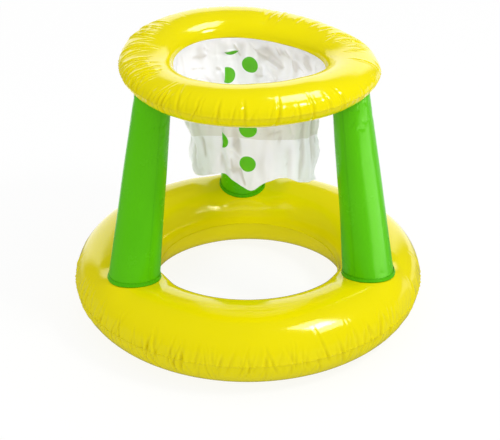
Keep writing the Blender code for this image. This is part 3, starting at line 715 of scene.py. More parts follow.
class Post:
    """One post: the middles of its foot and head, its axis and its two cross directions."""

    def __init__(self, name, base, rim, sizes):
        foot, head, self.weld_bearing, self.foot_plane = POSTS[name]
        self.base, self.rim, self.sizes = base, rim, sizes
        self.foot = self.stand(base.radius + foot[0], foot[1], base.centre + base.half_height)
        self.head = self.stand(rim.radius + head[0], head[1], rim.middle[2] - rim.half_height)
        self.axis = (self.head - self.foot) / np.linalg.norm(self.head - self.foot)
        self.across = np.cross(self.axis, (0, 0, 1))
        self.across /= np.linalg.norm(self.across)
        self.through = np.cross(self.axis, self.across)

    @staticmethod
    def stand(reach, degrees, height):
        """A point by its distance from the hoop's axis, its bearing and its height."""
        bearing = math.radians(degrees)
        return np.array((reach * math.cos(bearing), reach * math.sin(bearing), height))

    def radial(self, turn):
        """Unit directions out of the axis: across times the cosine and through times the sine."""
        return np.cos(turn)[:, None] * self.across + np.sin(turn)[:, None] * self.through

    def wall(self, turn, foot_gap, head_gap):
        """Both ends of the tube's straight lines, slid on to the two rings."""
        low = self.foot + self.radial(turn) * self.sizes.foot_radius
        high = self.head + self.radial(turn) * self.sizes.head_radius
        up = (high - low) / np.linalg.norm(high - low, axis=1)[:, None]
        middle = (low + high) / 2
        return slide_to(self.base, middle, -up, foot_gap), slide_to(self.rim, middle, up, head_gap)

    def disc(self, turn, radius, at_head, gap):
        """Points of an end disc, dropped along the post's axis on to its ring."""
        start = (self.foot + self.head) / 2 + self.radial(turn) * radius
        way = np.broadcast_to(self.axis if at_head else -self.axis, start.shape)
        return slide_to(self.rim if at_head else self.base, start, way, gap)


def foot_lift(points, posts):
    """How far each post's foot lifts or presses the base film, by plan. Within the foot's circle it
    is the foot's plane less the ring's top, and outside it is that of the circle's nearest point,
    easing to nothing. The plane leans with a share of the post and lies a little below its foot."""
    lift = np.zeros(points.shape[:-1])
    for post in posts:
        base, edge = post.base, post.sizes.foot_radius + PULL_EDGE
        lean, sink, fade = post.foot_plane
        away = points[..., :2] - post.foot[:2]
        reach = np.maximum(np.hypot(away[..., 0], away[..., 1]), 1e-9)
        away = away * np.minimum(1.0, edge / reach)[..., None]
        ring_reach = np.hypot(post.foot[0] + away[..., 0], post.foot[1] + away[..., 1])
        across = np.clip((ring_reach - base.radius) / base.half_width, -1, 1)
        top = base.centre + base.half_height * np.sqrt(1 - across ** 2)
        plane = post.foot[2] - sink - lean * (away @ post.axis[:2]) / post.axis[2]
        lift += PULL_SHARE * (plane - top) * (1 - ease((reach - edge) / fade))
    return lift


def lifted(points, posts):
    """Points of the base film moved up by the feet's lift, less towards the seam, and not below."""
    level = ease((points[..., 2] - posts[0].base.centre) / PULL_HEIGHT)
    moved = points.copy()
    moved[..., 2] += level * foot_lift(points, posts)
    return moved


def post_film(name, post, seed, seat):
    """A post's tube: straight lines from ring to ring, raised outwards by its long weld, by small
    pleats that fade within 14 mm of both ends, by soft dents and by short creases, most of them near
    its head."""
    draw = np.random.default_rng(seed)
    sizes = post.sizes
    facing = post.stand(1.0, post.weld_bearing, 0.0)
    weld = math.atan2(facing @ post.through, facing @ post.across)
    near_columns, far_columns, rows = POST_GRID
    weld_reach, weld_edge, strip_width, strip_fade, foot_fade, head_fade = POST_WIDTHS
    close = np.linspace(-weld_reach, weld_reach, near_columns) / sizes.foot_radius
    even = np.linspace(close[-1], TURN + close[0], far_columns)[1:-1]
    turn = np.concatenate([close, even]) + weld
    low, high = post.wall(turn, FOOT_GAP, REST_GAP)
    low = lifted(low, [post])
    share = np.linspace(0, 1, rows)[:, None]
    length = float(np.linalg.norm(high - low, axis=1).mean())
    up = share * length
    radius = sizes.foot_radius + (sizes.head_radius - sizes.foot_radius) * share
    around = (turn - weld)[None, :] * radius
    strip = ease((around + weld_edge) / (2 * weld_edge)) * ease((strip_width - around) / strip_fade)
    ends = np.exp(-((up / foot_fade) ** 2)) + 0.8 * np.exp(-(((length - up) / head_fade) ** 2))
    height = sizes.weld_rise * strip + sizes.end_pleat * ends * waves(draw, turn - weld, POST_PLEATS)
    for times, rises in POST_DENTS:
        swing = draw.uniform(0, TURN, 2)
        dent = np.cos(times * turn + swing[0])[None, :] * np.sin(math.pi * rises * share + swing[1])
        height = height + sizes.dents * dent
    half_turn = math.pi * sizes.head_radius
    lines = []
    for count, from_head, (near, far), slant, longest, widths, depths in POST_CREASES:
        for _ in range(count):
            across = draw.uniform(-half_turn, half_turn)
            run = draw.uniform(near, far if far > 0 else length * -far)
            slope, reach = draw.uniform(-slant, slant), draw.uniform(0.008, longest)
            crease = crease_ends((across, length - run if from_head else run), slope, reach)
            lines.append((*crease, draw.uniform(*widths), draw.uniform(*depths)))
    wrapped = (around + half_turn) % (2 * half_turn) - half_turn
    height = height + creased(wrapped, np.broadcast_to(up, around.shape), lines)
    points = low + (high - low) * share[..., None] + post.radial(turn) * height[..., None]
    points = sink_under_valve(points, seat, VALVE["sink"])
    values = {"weld": around * 1000, "gather": height * 1000}
    piece = grid_piece(name, points, (turn - weld) * sizes.foot_radius, up[:, 0], values=values)
    wall_film(piece, FILM)
    return cut_stem_hole(piece, seat)


def post_collar(name, post, seed):
    """The foot disc: rings of points at shares of the foot's radius, dropped on the base ring, then
    a rounded turn and a low collar up the tube, its edge waving out and up a little."""
    draw = np.random.default_rng(seed)
    sizes = post.sizes
    columns, rows = COLLAR_GRID
    turn = np.arange(columns) / columns * TURN
    edge = sizes.foot_radius + FOOT_EDGE
    radii = [sizes.foot_radius * share for share in FOOT_SHARES] + [edge]
    *rings, foot = (lifted(post.disc(turn, radius, False, FOOT_GAP), [post]) for radius in radii)
    out = post.radial(turn)
    ripple = waves(draw, turn, COLLAR_WAVES)
    for share in np.linspace(0, 1, rows):
        flare = COLLAR_FLARE * (1 - ease(share * 1.6)) + COLLAR_WAVE_OUT * ripple * (0.4 + share)
        rise = sizes.collar_height * (share + COLLAR_WAVE_UP * ripple * share)
        rings.append(foot + post.axis * rise[:, None] + out * flare[:, None])
    points = np.stack(rings)
    upright = edge + sizes.collar_height * np.linspace(0.02, 1, rows)
    along_rows = np.append(np.linspace(0, edge, len(radii) - 1), upright)
    piece = grid_piece(name, points, turn * edge, along_rows)
    merge_poles(piece)
    return turn_towards(piece, post.foot + post.axis * 0.02)


def turn_towards(piece, spot):
    """Turns a dished sheet so that its first face looks at the spot, then gives it its film."""
    first = piece.data.polygons[0]
    if first.normal.dot(Vector(spot) - first.center) < 0:
        piece.data.flip_normals()
    return wall_film(piece, FILM)


def post_head(name, post):
    """The disc that closes the head: rings of points dropped on the underside of the rim."""
    columns, rings = HEAD_GRID
    turn = np.arange(columns) / columns * TURN
    radius = post.sizes.head_radius
    radii = np.append(np.linspace(0, radius, rings), radius + HEAD_EDGE)
    points = np.stack([post.disc(turn, radius, True, HEAD_GAP) for radius in radii])
    piece = grid_piece(name, points, turn * radii[-1], radii)
    merge_poles(piece)
    return turn_towards(piece, post.head - post.axis * 0.05)


def net_grid(rim, sizes, degrees, share):
    """The hanging tube of film. From the rim's inner seam the radius draws in by one less a power of
    (1 - share), less each fold's bell times a power of the share, plus each bulge's bell round and
    down the film. One tuck draws in the hem alone, by the square of the share past its start. The
    height runs evenly from the seam down to the hem. Returns the points, their drop and the way out
    of the film."""
    bearing = np.radians(degrees)
    top = rim.place(bearing, -rim.half_width - sizes.seam_inset, -(LIP_HEIGHT + REST_GAP))
    hem = rim.middle[2] - round_stops(NET_HEM, degrees)
    hang = rim.radius - rim.half_width - sizes.seam_inset - sizes.draw_in
    up = top[..., 2] + (hem - top[..., 2]) * share
    hold = (1 - share) ** NET_DRAW_POWER
    radius = np.hypot(top[..., 0], top[..., 1]) * hold + hang * (1 - hold)
    for centre, width, depth in NET_FOLDS:
        radius = radius - depth * share ** NET_LOOSE_POWER * bell(degrees, centre, width)
    centre, width, depth, start = NET_TUCK
    tuck = np.maximum(0.0, (share - start) / (1 - start))
    radius = radius - depth * tuck ** 2 * bell(degrees, centre, width)
    for centre, height, wide, tall, bulge in NET_BULGES:
        radius = radius + bulge * bell(degrees, centre, wide) * np.exp(-(((up - height) / tall) ** 2))
    facing = np.arctan2(top[..., 1], top[..., 0])
    out = np.stack(np.broadcast_arrays(np.cos(facing), np.sin(facing), 0.0), axis=-1)
    points = radius[..., None] * out
    points[..., 0] += sizes.drift_x * (1 - hold)
    points[..., 2] = up
    return points, np.broadcast_to(top[..., 2] - up, up.shape), out


def net_film(name, rim, sizes):
    """The net's film with its fine creases: those that are placed, and many small seeded ones, on
    ripples that go round it as sines, each shifted by a multiple of the drop. Returns the piece, and
    each dot's middle and fold on the flat film."""
    columns, rows = NET_GRID
    degrees = np.arange(columns) / columns * 360 - 180
    share = np.linspace(0, 1, rows)[:, None]
    points, drop, out = net_grid(rim, sizes, degrees[None, :], share)
    metre = (rim.radius - rim.half_width - sizes.seam_inset - sizes.draw_in) * math.radians(1)
    across = np.broadcast_to(degrees[None, :] * metre, drop.shape)
    draw = np.random.default_rng(NET_SEED)

    def film_place(bearing, height):
        """Place on the film, in metres across and down, of a bearing and a height."""
        top = rim.place(np.radians(np.array([bearing])), -rim.half_width - sizes.seam_inset, -LIP_HEIGHT)
        return bearing * metre, float(top[0, 2] - height)

    def film_line(start, start_up, end, end_up, width, depth):
        """A placed crease as a line in metres across and down the film."""
        return (*film_place(start, start_up), *film_place(end, end_up), width, depth)

    lines = [film_line(*crease) for crease in NET_CREASES]
    small = NET_SMALL_CREASES
    for _ in range(sizes.small_creases):
        middle = (draw.uniform(-180, 180) * metre, draw.uniform(*small["drops"]))
        slope = math.radians(90 + draw.normal(0, small["stray"]))
        ends = crease_ends(middle, slope, draw.uniform(*small["lengths"]))
        depth = draw.choice((-1, 1)) * draw.uniform(*small["depths"])
        lines.append((*ends, draw.uniform(*small["widths"]), depth))
    height = creased(across, drop, lines)
    counts, most, relief_drop = NET_RIPPLES
    for times in counts:
        twist, start = draw.uniform(-most, most), draw.uniform(0, TURN)
        ripple = np.sin(times * np.radians(degrees)[None, :] + twist * drop + start)
        height = height + sizes.ripple / 3 * ripple
    height = height * ease(drop / relief_drop)
    # painted shade: crease valleys are darkened by their depth, and by the listed fold shades
    fold_shade = -0.35 * height * 1000
    for *ends, width, depth in NET_SHADES:
        fold_shade = fold_shade + creased(across, drop, [film_line(*ends, width, -depth)])
    points = points + out * height[..., None]
    seam = rim.place(np.radians(degrees), -rim.half_width, 0.0)[:, 2]
    strip = drop - (seam - round_stops(NET_STRIP, degrees))
    piece = grid_piece(name, points, degrees * metre, share[:, 0], False,
                       {"drop": drop, "across": across, "strip": strip * 1000, "fold_shade": fold_shade})
    wall_film(piece, sizes.film)
    dots = []
    for middle, fold in NET_DOTS:
        start, end = (film_place(*fold[:2]), film_place(*fold[2:])) if fold else (None, None)
        dots.append((film_place(*middle), start, end))
    return piece, dots


class Wire:
    """A shader value in plain arithmetic: each operator adds one Math node to its finish."""

    def __init__(self, finish, socket):
        self.finish, self.socket = finish, socket

    def math(self, operation, *values):
        """Adds one Math node on the values."""
        return self.finish.node("ShaderNodeMath", {"operation": operation}, dict(enumerate(values)))

    def __add__(self, other):
        return self.math("ADD", self, other)

    def __sub__(self, other):
        return self.math("SUBTRACT", self, other)

    def __rsub__(self, other):
        return self.math("SUBTRACT", other, self)

    def __mul__(self, other):
        return self.math("MULTIPLY", self, other)

    def __truediv__(self, other):
        return self.math("DIVIDE", self, other)

    __radd__, __rmul__ = __add__, __mul__

    def between(self, low, high):
        """Eased from 0 at low to 1 at high."""
        settings = {"interpolation_type": "SMOOTHSTEP", "clamp": True}
        values = {"Value": self, 1: low, 2: high, 3: 0.0, 4: 1.0}
        return self.finish.node("ShaderNodeMapRange", settings, values)


class Finish:
    """The nodes of a new material, or of a world, with one method that adds any node."""

    def __init__(self, name, world=None):
        self.owner = world or bpy.data.materials.new(name)
        self.owner.use_nodes = True
        self.tree = self.owner.node_tree
        self.shader = self.tree.nodes["Background" if world else "Principled BSDF"]

    def node(self, kind, settings=None, inputs=None, output=0):
        """Adds a node, its settings first and then its sockets' values or links."""
        made = self.tree.nodes.new(kind)
        for key, value in (settings or {}).items():
            setattr(made, key, value)
        for key, value in (inputs or {}).items():
            self.put(made.inputs[key], value)
        return Wire(self, made.outputs[output])

    def outputs(self, kind, names, inputs=None):
        """Adds a node and gives the wires of several of its outputs, by name."""
        outputs = self.node(kind, None, inputs).socket.node.outputs
        return [Wire(self, outputs[name]) for name in names]

    def put(self, socket, value):
        """Links a wire to a socket, or sets the socket's value."""
        if isinstance(value, Wire):
            self.tree.links.new(value.socket, socket)
        else:
            socket.default_value = value

    def attribute(self, name):
        """A value that the piece's mesh carries."""
        return self.node("ShaderNodeAttribute", {"attribute_name": name}, output="Fac")

    def film_uv(self):
        """Metres round and along the film."""
        return self.node("ShaderNodeUVMap", {"uv_map": "film"})

    def place(self):
        """Metres in the hoop's own frame."""
        return self.node("ShaderNodeTexCoord", output="Object")

    def vector(self, operation, first, second, output=0):
        """Vector maths on two vectors."""
        return self.node("ShaderNodeVectorMath", {"operation": operation}, {0: first, 1: second}, output)

    def noise(self, where, scale, detail=2.0, roughness=0.5):
        """Soft noise from 0 to 1, so many lumps to the metre."""
        inputs = {"Vector": where, "Scale": scale, "Detail": detail, "Roughness": roughness}
        return self.node("ShaderNodeTexNoise", None, inputs)

    def mix(self, share, first, second):
        """A colour between two, by share."""
        return self.node("ShaderNodeMix", {"data_type": "RGBA"}, {0: share, 6: first, 7: second}, 2)

    def clouded(self, cloud, contrast, first, second):
        """A colour between two, by a noise whose contrast about one half is changed."""
        return self.mix((cloud - 0.5) * contrast + 0.5, first, second)

    def bump(self, height, distance, strength=1.0, under=None):
        """A normal raised by a height so many metres deep, over another relief if there is one."""
        inputs = {"Height": height, "Distance": distance, "Strength": strength}
        if under:
            inputs["Normal"] = under
        return self.node("ShaderNodeBump", None, inputs)

    def surface(self, **inputs):
        """Sets the main shader's sockets, named with _ for a space."""
        for key, value in inputs.items():
            self.put(self.shader.inputs[key.replace("_", " ")], value)
        return self.owner


def shade(colour, factor):
    """A colour with its three parts times a factor."""
    return tuple(min(1.0, part * factor) for part in colour[:3]) + (1.0,)


def ring_finish(name, colours):
    """Glossy yellow film with a faint cloudiness, its pleat valleys a deeper yellow as painted shade,
    ribbed by the welding bar along its seams and fine drawn lines in the bump."""
    finish = Finish(name)
    where, uv = finish.place(), finish.film_uv()
    yellow = tuple(colours.yellow)
    along, = finish.outputs("ShaderNodeSeparateXYZ", "Y", {"Vector": uv})
    edge = 1 - along.math("ABSOLUTE", along).between(0.0006, 0.0034)
    colour = finish.clouded(finish.noise(where, 9.0, 3.0), 0.9, shade(yellow, 0.965), shade(yellow, 1.03))
    # painted shade: the pleat valleys, where the film gathers in, are mixed towards the deeper yellow
    pleat_shade = (finish.attribute("gather") * -0.55).between(0.0, 1.0)
    colour = finish.mix(pleat_shade * 0.22, colour, tuple(colours.yellow_pleat_shade))
    ribs = finish.node("ShaderNodeTexWave", {"bands_direction": "X"},
                       {"Vector": uv, "Scale": 260.0, "Distortion": 0.6, "Detail": 1.0})
    grain = finish.noise(where, 420.0)
    lines = finish.noise(finish.vector("MULTIPLY", uv, (160.0, 14.0, 1.0)), 1.0)
    relief = finish.bump(grain * 0.12 + lines * 0.5, 0.00016, under=finish.bump(ribs * edge, 0.00010))
    smudge = finish.noise(where, 24.0, 4.0, 0.6)
    return finish.surface(Base_Color=colour, Roughness=0.07 + smudge * 0.08 + edge * 0.08,
                          Specular_IOR_Level=0.62, Specular_Tint=(1.0, 0.96, 0.62, 1.0), Normal=relief)


def post_finish(name, colours):
    """Green film with a satin gloss, its long weld a shade deeper, with fine drawn lines along it."""
    finish = Finish(name)
    where, weld = finish.place(), finish.attribute("weld")
    green, deep = tuple(colours.green), tuple(colours.green_deep)
    colour = finish.clouded(finish.noise(where, 11.0, 3.0), 0.9, shade(green, 0.94), shade(green, 1.06))
    line = weld.between(-0.45, -0.15) * (1 - weld.between(0.05, 0.40))
    strip = weld.between(-0.2, 0.2) * (1 - weld.between(5.0, 5.9))
    colour = finish.mix(strip * 0.22 + line * 0.40, colour, deep)
    # painted shade: the film's crease valleys are mixed towards the deeper green
    colour = finish.mix((finish.attribute("gather") * -0.8).between(0.0, 1.0) * 0.3, colour, deep)
    grain = finish.noise(where, 380.0)
    lines = finish.noise(finish.vector("MULTIPLY", where, (70.0, 70.0, 9.0)), 1.0)
    relief = finish.bump(grain * 0.25 + lines * 0.5, 0.00014, under=finish.bump(line, 0.00030))
    smudge = finish.noise(where, 20.0, 4.0, 0.6)
    return finish.surface(Base_Color=colour, Roughness=0.20 + smudge * 0.12, Specular_IOR_Level=0.36,
                          Specular_Tint=(0.75, 1.0, 0.45, 1.0), Normal=relief)


def collar_finish(name, colours, foot_radius):
    """Two layers of green film: deeper in colour, with a lighter edge where the collar turns up."""
    finish = Finish(name)
    where = finish.place()
    cloud = finish.noise(where, 40.0, 3.0)
    colour = finish.mix(cloud, shade(colours.green_deep, 0.92), shade(colours.green_deep, 1.12))
    out, = finish.outputs("ShaderNodeSeparateXYZ", "Y", {"Vector": finish.film_uv()})
    low_edge = 1 - (out - foot_radius).between(0.0, 0.0010)
    colour = finish.mix(low_edge * 0.7, colour, shade(colours.green, 1.08))
    grain = finish.noise(where, 300.0)
    return finish.surface(Base_Color=colour, Roughness=0.22 + grain * 0.12, Specular_IOR_Level=0.36,
                          Specular_Tint=(0.55, 1.0, 0.30, 1.0), Normal=finish.bump(grain, 0.0001))


def net_finish(name, colours, sizes, dots):
    """Thin milky film with printed green dots: a dot's share is one less the distance from its
    middle over its edge, and it stops at the line of a fold: the cross product of the line's run and
    the way to the place. Its outside is a little greyer from the rim down to a set edge, and its folds
    are greyer as painted shade. A faint glow is painted light for the light that comes through the
    film: it is full on the inside and on the outside at the right, and a tenth on the outside elsewhere."""
    finish = Finish(name)
    where = finish.place()
    across, drop = finish.attribute("across"), finish.attribute("drop")
    place = finish.node("ShaderNodeCombineXYZ", None, {"X": across, "Y": drop * (1 / DOT_STRETCH)})
    radius, soft = sizes.dot_diameter / 2, 0.0003
    printed = None
    for middle, start, end in dots:
        spot = (middle[0], middle[1] / DOT_STRETCH, 0.0)
        away = finish.vector("DISTANCE", place, spot, "Value")
        dot = 1 - away.between(radius - soft, radius + soft)
        if start:
            run = np.subtract(end, start) / np.hypot(*np.subtract(end, start))
            offset = float(start[0] * run[1] - start[1] * run[0])
            side = across * float(run[1]) - drop * float(run[0]) - offset
            dot = dot * side.between(-0.0002, 0.0002)
        printed = dot if printed is None else printed.math("MAXIMUM", printed, dot)
    facing = finish.node("ShaderNodeNewGeometry", output="Normal")
    level = finish.vector("MULTIPLY", where, (1.0, 1.0, 0.0))
    outward = finish.vector("DOT_PRODUCT", facing, level, "Value").between(-0.02, 0.02)
    # a greyer band on the outside, from the rim down to the edge that the strip attribute holds
    under_rim_band = (1 - finish.attribute("strip").between(-0.5, 0.5)) * outward
    cloud = finish.noise(where, 26.0, 4.0, 0.6)
    colour = finish.clouded(cloud, 1.4, shade(colours.net, 0.965), tuple(colours.net))
    colour = finish.mix(under_rim_band * 0.7, colour, tuple(colours.net_under_rim))
    # painted shade in the folds of the film
    fold_shade_share = finish.attribute("fold_shade").between(-0.05, 1.2)
    colour = finish.mix(fold_shade_share * 0.85, colour, tuple(colours.net_fold_shade))
    colour = finish.mix(printed, colour, tuple(colours.dots))
    right, = finish.outputs("ShaderNodeSeparateXYZ", "X", {"Vector": where})
    dimmed = outward * (1 - right.between(0.0, 0.14) * 0.9)
    glow = finish.mix(dimmed, tuple(colours.net_glow), shade(colours.net_glow, 0.10))
    glow = finish.mix(printed.math("MAXIMUM", printed, under_rim_band * 0.8), glow, (0.0, 0.0, 0.0, 1.0))
    relief = finish.bump(finish.noise(where, 60.0, 5.0, 0.55), 0.0012, 0.8)
    return finish.surface(Base_Color=colour, Roughness=0.22 + cloud * 0.16, Normal=relief,
                          Emission_Color=glow, Emission_Strength=1.0, Subsurface_Weight=0.85,
                          Subsurface_Radius=(1.0, 1.0, 1.0), Subsurface_Scale=0.0015,
                          Alpha=0.92 + printed * 0.07 + under_rim_band * 0.03)


def valve_finish(name, colours):
    """Milky clear vinyl of the moulded valves."""
    finish = Finish(name)
    where = finish.place()
    cloud = finish.noise(where, 300.0, 3.0)
    colour = finish.mix(cloud, shade(colours.valve, 0.94), tuple(colours.valve))
    relief = finish.bump(finish.noise(where, 900.0), 0.00004)
    return finish.surface(Base_Color=colour, Roughness=0.22 + cloud * 0.12, Transmission_Weight=0.25,
                          IOR=1.45, Normal=relief)


def valve_flange(chamber, seat):
    """The welded disc round the stem: a flat ring with a raised bead, rounded at its edges."""
    inner, outer, low, high = 0.0048, VALVE["flange"], REST_GAP, 0.0011
    outline = rounded([(inner, low), (outer, low), (outer, high - 0.0003), (0.0082, high),
                       (0.0074, high - 0.0002), (0.0064, high - 0.0002), (0.0058, high),
                       (inner, high)], 0.0002)
    return turned_piece(f"{chamber}_valve_flange_disc", outline, 64, True, seat)


def valve_stem(chamber, seat):
    """The blow-in tube: a bore through an outer bead, a straight neck and an inner lip, and the lug
    that the cap's strap hangs on."""
    bore, neck, lip, bead = VALVE["bore"], VALVE["neck"], VALVE["lip"], 0.00445
    outline = rounded([(bore, -0.0022), (lip, -0.0022), (lip, -0.0012), (neck, -0.0012), (neck, 0.0078),
                       (bead, 0.0083), (bead, 0.0094), (neck, 0.0100), (bore, 0.0100)], 0.00025)
    stem = turned_piece(f"{chamber}_valve_stem_tube", outline, 64, True, seat)
    lug = slab("lug", (0.0036, VALVE["hinge_reach"]), 0.0017, (0.0089, 0.0100), seat)
    return boolean(stem, lug, "UNION")


def slab(name, along, half_width, heights, seat):
    """A flat bar with rounded ends on plan, from a superellipse of power 6 round its middle. Its
    rows are a share of the height and a share of the width, closed at both faces and bevelled."""
    angle = np.arange(48) / 48 * TURN
    cosine, sine = np.cos(angle), np.sin(angle)
    middle, half = sum(along) / 2, (along[1] - along[0]) / 2
    x = middle + half * np.sign(cosine) * np.abs(cosine) ** (1 / 3)
    y = half_width * np.sign(sine) * np.abs(sine) ** (1 / 3)
    rows = []
    for share, width in ((0, 0), (0, 0.9), (0.12, 1), (0.88, 1), (1, 0.9), (1, 0)):
        z = heights[0] + (heights[1] - heights[0]) * share
        rows.append(np.stack([middle + (x - middle) * width, y * width, np.full_like(x, z)], axis=-1))
    piece = grid_piece(name, np.stack(rows), angle * half, np.linspace(0, 1, 6))
    merge_poles(piece, 50)
    piece.data.transform(Matrix(seat))
    return piece


def valve_cap(chamber, seat):
    """The plug cap on its strap: a rounded lid with a tapered plug and a pull tab, hinged where the
    strap meets the stem's lug."""
    hinge, low = VALVE["hinge_reach"], VALVE["hinge_height"]
    outline = [(0, low - 0.0030), (0.0014, low - 0.0030), (0.0018, low - 0.0027), (0.0022, low - 0.0002),
               (0.0024, low), (0.0043, low), (0.0046, low + 0.0003), (0.0046, low + 0.0010),
               (0.0042, low + 0.0014), (0.0032, low + 0.00135), (0.0022, low + 0.0011), (0, low + 0.0010)]
    cap = turned_piece(f"{chamber}_valve_plug_cap", outline, 64, False, seat)
    boolean(cap, slab("strap", (0.0023, hinge), 0.0017, (low, low + 0.0008), seat), "UNION")
    tab = slab("tab", (-0.0062, -0.0036), 0.0019, (low + 0.0002, low + 0.0010), seat)
    return boolean(cap, tab, "UNION")


def valve_flap(chamber, seat):
    """The disc inside that holds the air back: thin, with a raised rim."""
    top = -0.0025
    outline = [(0, top - 0.0004), (0.0030, top - 0.0004), (0.0034, top - 0.0003), (0.0034, top - 0.0001),
               (0.0033, top), (0.0028, top), (0.0026, top - 0.0001), (0, top - 0.0001)]
    return turned_piece(f"{chamber}_valve_flap_disc", outline, 48, False, seat)


def finish_piece(piece, material, body, slot, *nodes):
    """Gives a piece its material and its body, and hides the CAD nodes that it stands for; the slot is not
    used.
    """
    piece.data.materials.clear()
    piece.data.materials.append(material)
    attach(piece, body)
    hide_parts(*nodes)
    return piece


def finished(name, make, *values):
    """The named material, made on first use."""
    return bpy.data.materials.get(name) or make(name, *values)


# Settings that a user can change: a length, an angle, a count, a colour, and a power or a share
def metres(name, description, default, low=0.0, high=2.0):
    return FloatProperty(name=name, description=description, default=default, min=low, max=high,
                         precision=4, subtype="DISTANCE", unit="LENGTH")


def angle_of(name, description, degrees):
    return FloatProperty(name=name, description=description, default=math.radians(degrees),
                         subtype="ANGLE")


def number_of(name, description, default):
    return IntProperty(name=name, description=description, default=default, min=0, max=600)


def tint(name, description, default):
    return FloatVectorProperty(name=name, description=description, default=default, size=4,
                               min=0.0, max=1.0, subtype="COLOR")


def power_of(name, description, default, high=5.0, subtype="NONE"):
    return FloatProperty(name=name, description=description, default=default, min=0.0, max=high,
                         subtype=subtype)


class HoopBaseSizes(bpy.types.PropertyGroup):
    """Sizes of the base ring."""
    outer_diameter: metres("Outer diameter", "Across the inflated base ring", 0.670)
    tube_width: metres("Tube width", "Across the base tube", 0.158)
    height: metres("Height", "Top of the base ring above the floor", 0.1376)
    floor_press: metres("Floor press", "How far the floor presses the tube in", 0.0015)
    pleats: number_of("Pleats", "Pleats round the outer weld", 185)


class HoopRimSizes(bpy.types.PropertyGroup):
    """Sizes of the rim ring."""
    radius: metres("Radius", "From the middle to the tube's centreline", 0.1867)
    tube_width: metres("Tube width", "Across the rim tube", 0.103)
    tube_height: metres("Tube height", "Height of the rim tube", 0.061)
    seam_height: metres("Seam height", "Height of the rim's welds above the floor", 0.4915)
    shift_x: metres("Shift", "How far the rim stands to the right", 0.0013, -0.1)
    tilt_x: angle_of("Tilt back", "Tilt about X", 0.98)
    tilt_y: angle_of("Tilt right", "Tilt about Y", 1.18)
    pleats: number_of("Pleats", "Pleats round the outer weld", 118)


class HoopPostSizes(bpy.types.PropertyGroup):
    """Sizes of the three posts."""
    foot_radius: metres("Foot radius", "Radius of a post at the base ring", 0.0462)
    head_radius: metres("Head radius", "Radius of a post at the rim", 0.0335)
    collar_height: metres("Collar height", "Height of the foot disc's collar", 0.0065)
    weld_rise: metres("Weld rise", "How far the long weld stands out", 0.00030)
    end_pleat: metres("End pleats", "Depth of the small pleats at both ends", 0.00030)
    dents: metres("Dents", "Depth of the film's soft dents", 0.00028)


class HoopNetSizes(bpy.types.PropertyGroup):
    """Sizes of the hanging net."""
    seam_inset: metres("Seam inset", "From the rim tube to the net's edge", 0.0016)
    draw_in: metres("Draw in", "How far the net draws in below the seam", 0.0161)
    drift_x: metres("Drift", "How far the net hangs to the right", 0.0085, -0.1)
    film: metres("Film", "Thickness of the net's film", 0.0003)
    dot_diameter: metres("Dots", "Width of a printed dot", 0.0298)
    flat_width: metres("Flat width", "Width of the film before it was welded to a tube", 0.850)
    flat_length: metres("Flat length", "Longest drop of the film as it was cut", 0.225)
    ripple: metres("Ripple", "How far the film ripples in and out", 0.0018)
    small_creases: number_of("Small creases", "Seeded creases in the film", 120)


class HoopColours(bpy.types.PropertyGroup):
    """Colours of the films and the valves."""
    yellow: tint("Yellow", "Film of both rings", (0.780, 0.682, 0.0006, 1.0))
    # the deeper yellow is painted shade in the rings' pleat valleys
    yellow_pleat_shade: tint("Deep yellow", "In pleats and welds", (0.700, 0.520, 0.001, 1.0))
    green: tint("Green", "Film of the posts", (0.093, 0.515, 0.0006, 1.0))
    # the deeper green is the welds' and collars' own colour, and also painted shade in the posts' crease
    # valleys
    green_deep: tint("Deep green", "Collars and welds", (0.070, 0.440, 0.001, 1.0))
    net: tint("Net", "Milky film of the net", (0.900, 0.905, 0.925, 1.0))
    # painted shade in the net's folds
    net_fold_shade: tint("Net folds", "Where the net's film is folded", (0.52, 0.495, 0.43, 1.0))
    # the net's outside under the rim, greyer down to a set edge
    net_under_rim: tint("Doubled net", "Where the net's film is double", (0.60, 0.59, 0.49, 1.0))
    net_glow: tint("Net glow", "Light that comes through the net's film", (0.125, 0.120, 0.165, 1.0))
    dots: tint("Dots", "Print on the net", (0.065, 0.42, 0.0005, 1.0))
    valve: tint("Valves", "Clear vinyl of the valves", (0.84, 0.86, 0.82, 1.0))


class HoopStageSettings(bpy.types.PropertyGroup):
    """Lamps and floor."""
    sky: power_of("Room light", "Strength of the even light", 0.94)
    key: power_of("Right lamp", "Power of the soft lamp on the right", 19.0, 500.0)
    card: power_of("Reflector cards", "Power of the cards that only reflections show", 30.0, 500.0)
    backdrop: power_of("Backdrop", "Strength of the white backdrop in reflections", 1.4)
    dim_room: power_of("Dim room", "Strength of the reflected room beside the backdrop", 0.07)
    bounce: power_of("Floor light", "How much of the floor's light comes up evenly", 0.85, 1.0, "FACTOR")
    shadow: power_of("Shadow", "Share of plain floor that keeps the shadow", 0.14, 1.0, "FACTOR")
    floor: metres("Floor", "Side of the floor", 16.0, 1.0, 100.0)


def shared_shapes(scene):
    """The base ring, the rim and the three posts, as the pieces' functions need them."""
    base, rim = BaseRing(scene.hoop_base), RimRing(scene.hoop_rim)
    return base, rim, {name: Post(name, base, rim, scene.hoop_posts) for name in POSTS}


class HOOP_OT_base_ring(bpy.types.Operator):
    """Make the two films of the base ring"""
    bl_idname = "hoop.base_ring"
    bl_label = "Base Ring"

    def execute(self, context):
        scene = context.scene
        base, _, posts = shared_shapes(scene)
        seat, posts = valve_seats()["base"], list(posts.values())
        pleats = ring_pleats("base", scene.hoop_base.pleats)
        keep_off = [(post.foot, *FOOT_CLEAR) for post in posts]
        film = finished("yellow_film_gloss", ring_finish, scene.hoop_colours)
        upper = ring_film("base_upper_film", base, 1, pleats, *BASE_GRID, seat, keep_off, posts)
        lower = ring_film("base_lower_film", base, -1, pleats, *BASE_GRID)
        finish_piece(upper, film, "hoop", "yellow_film", "base_upper_sheet")
        finish_piece(lower, film, "hoop", "yellow_film", "base_lower_sheet")
        return {"FINISHED"}


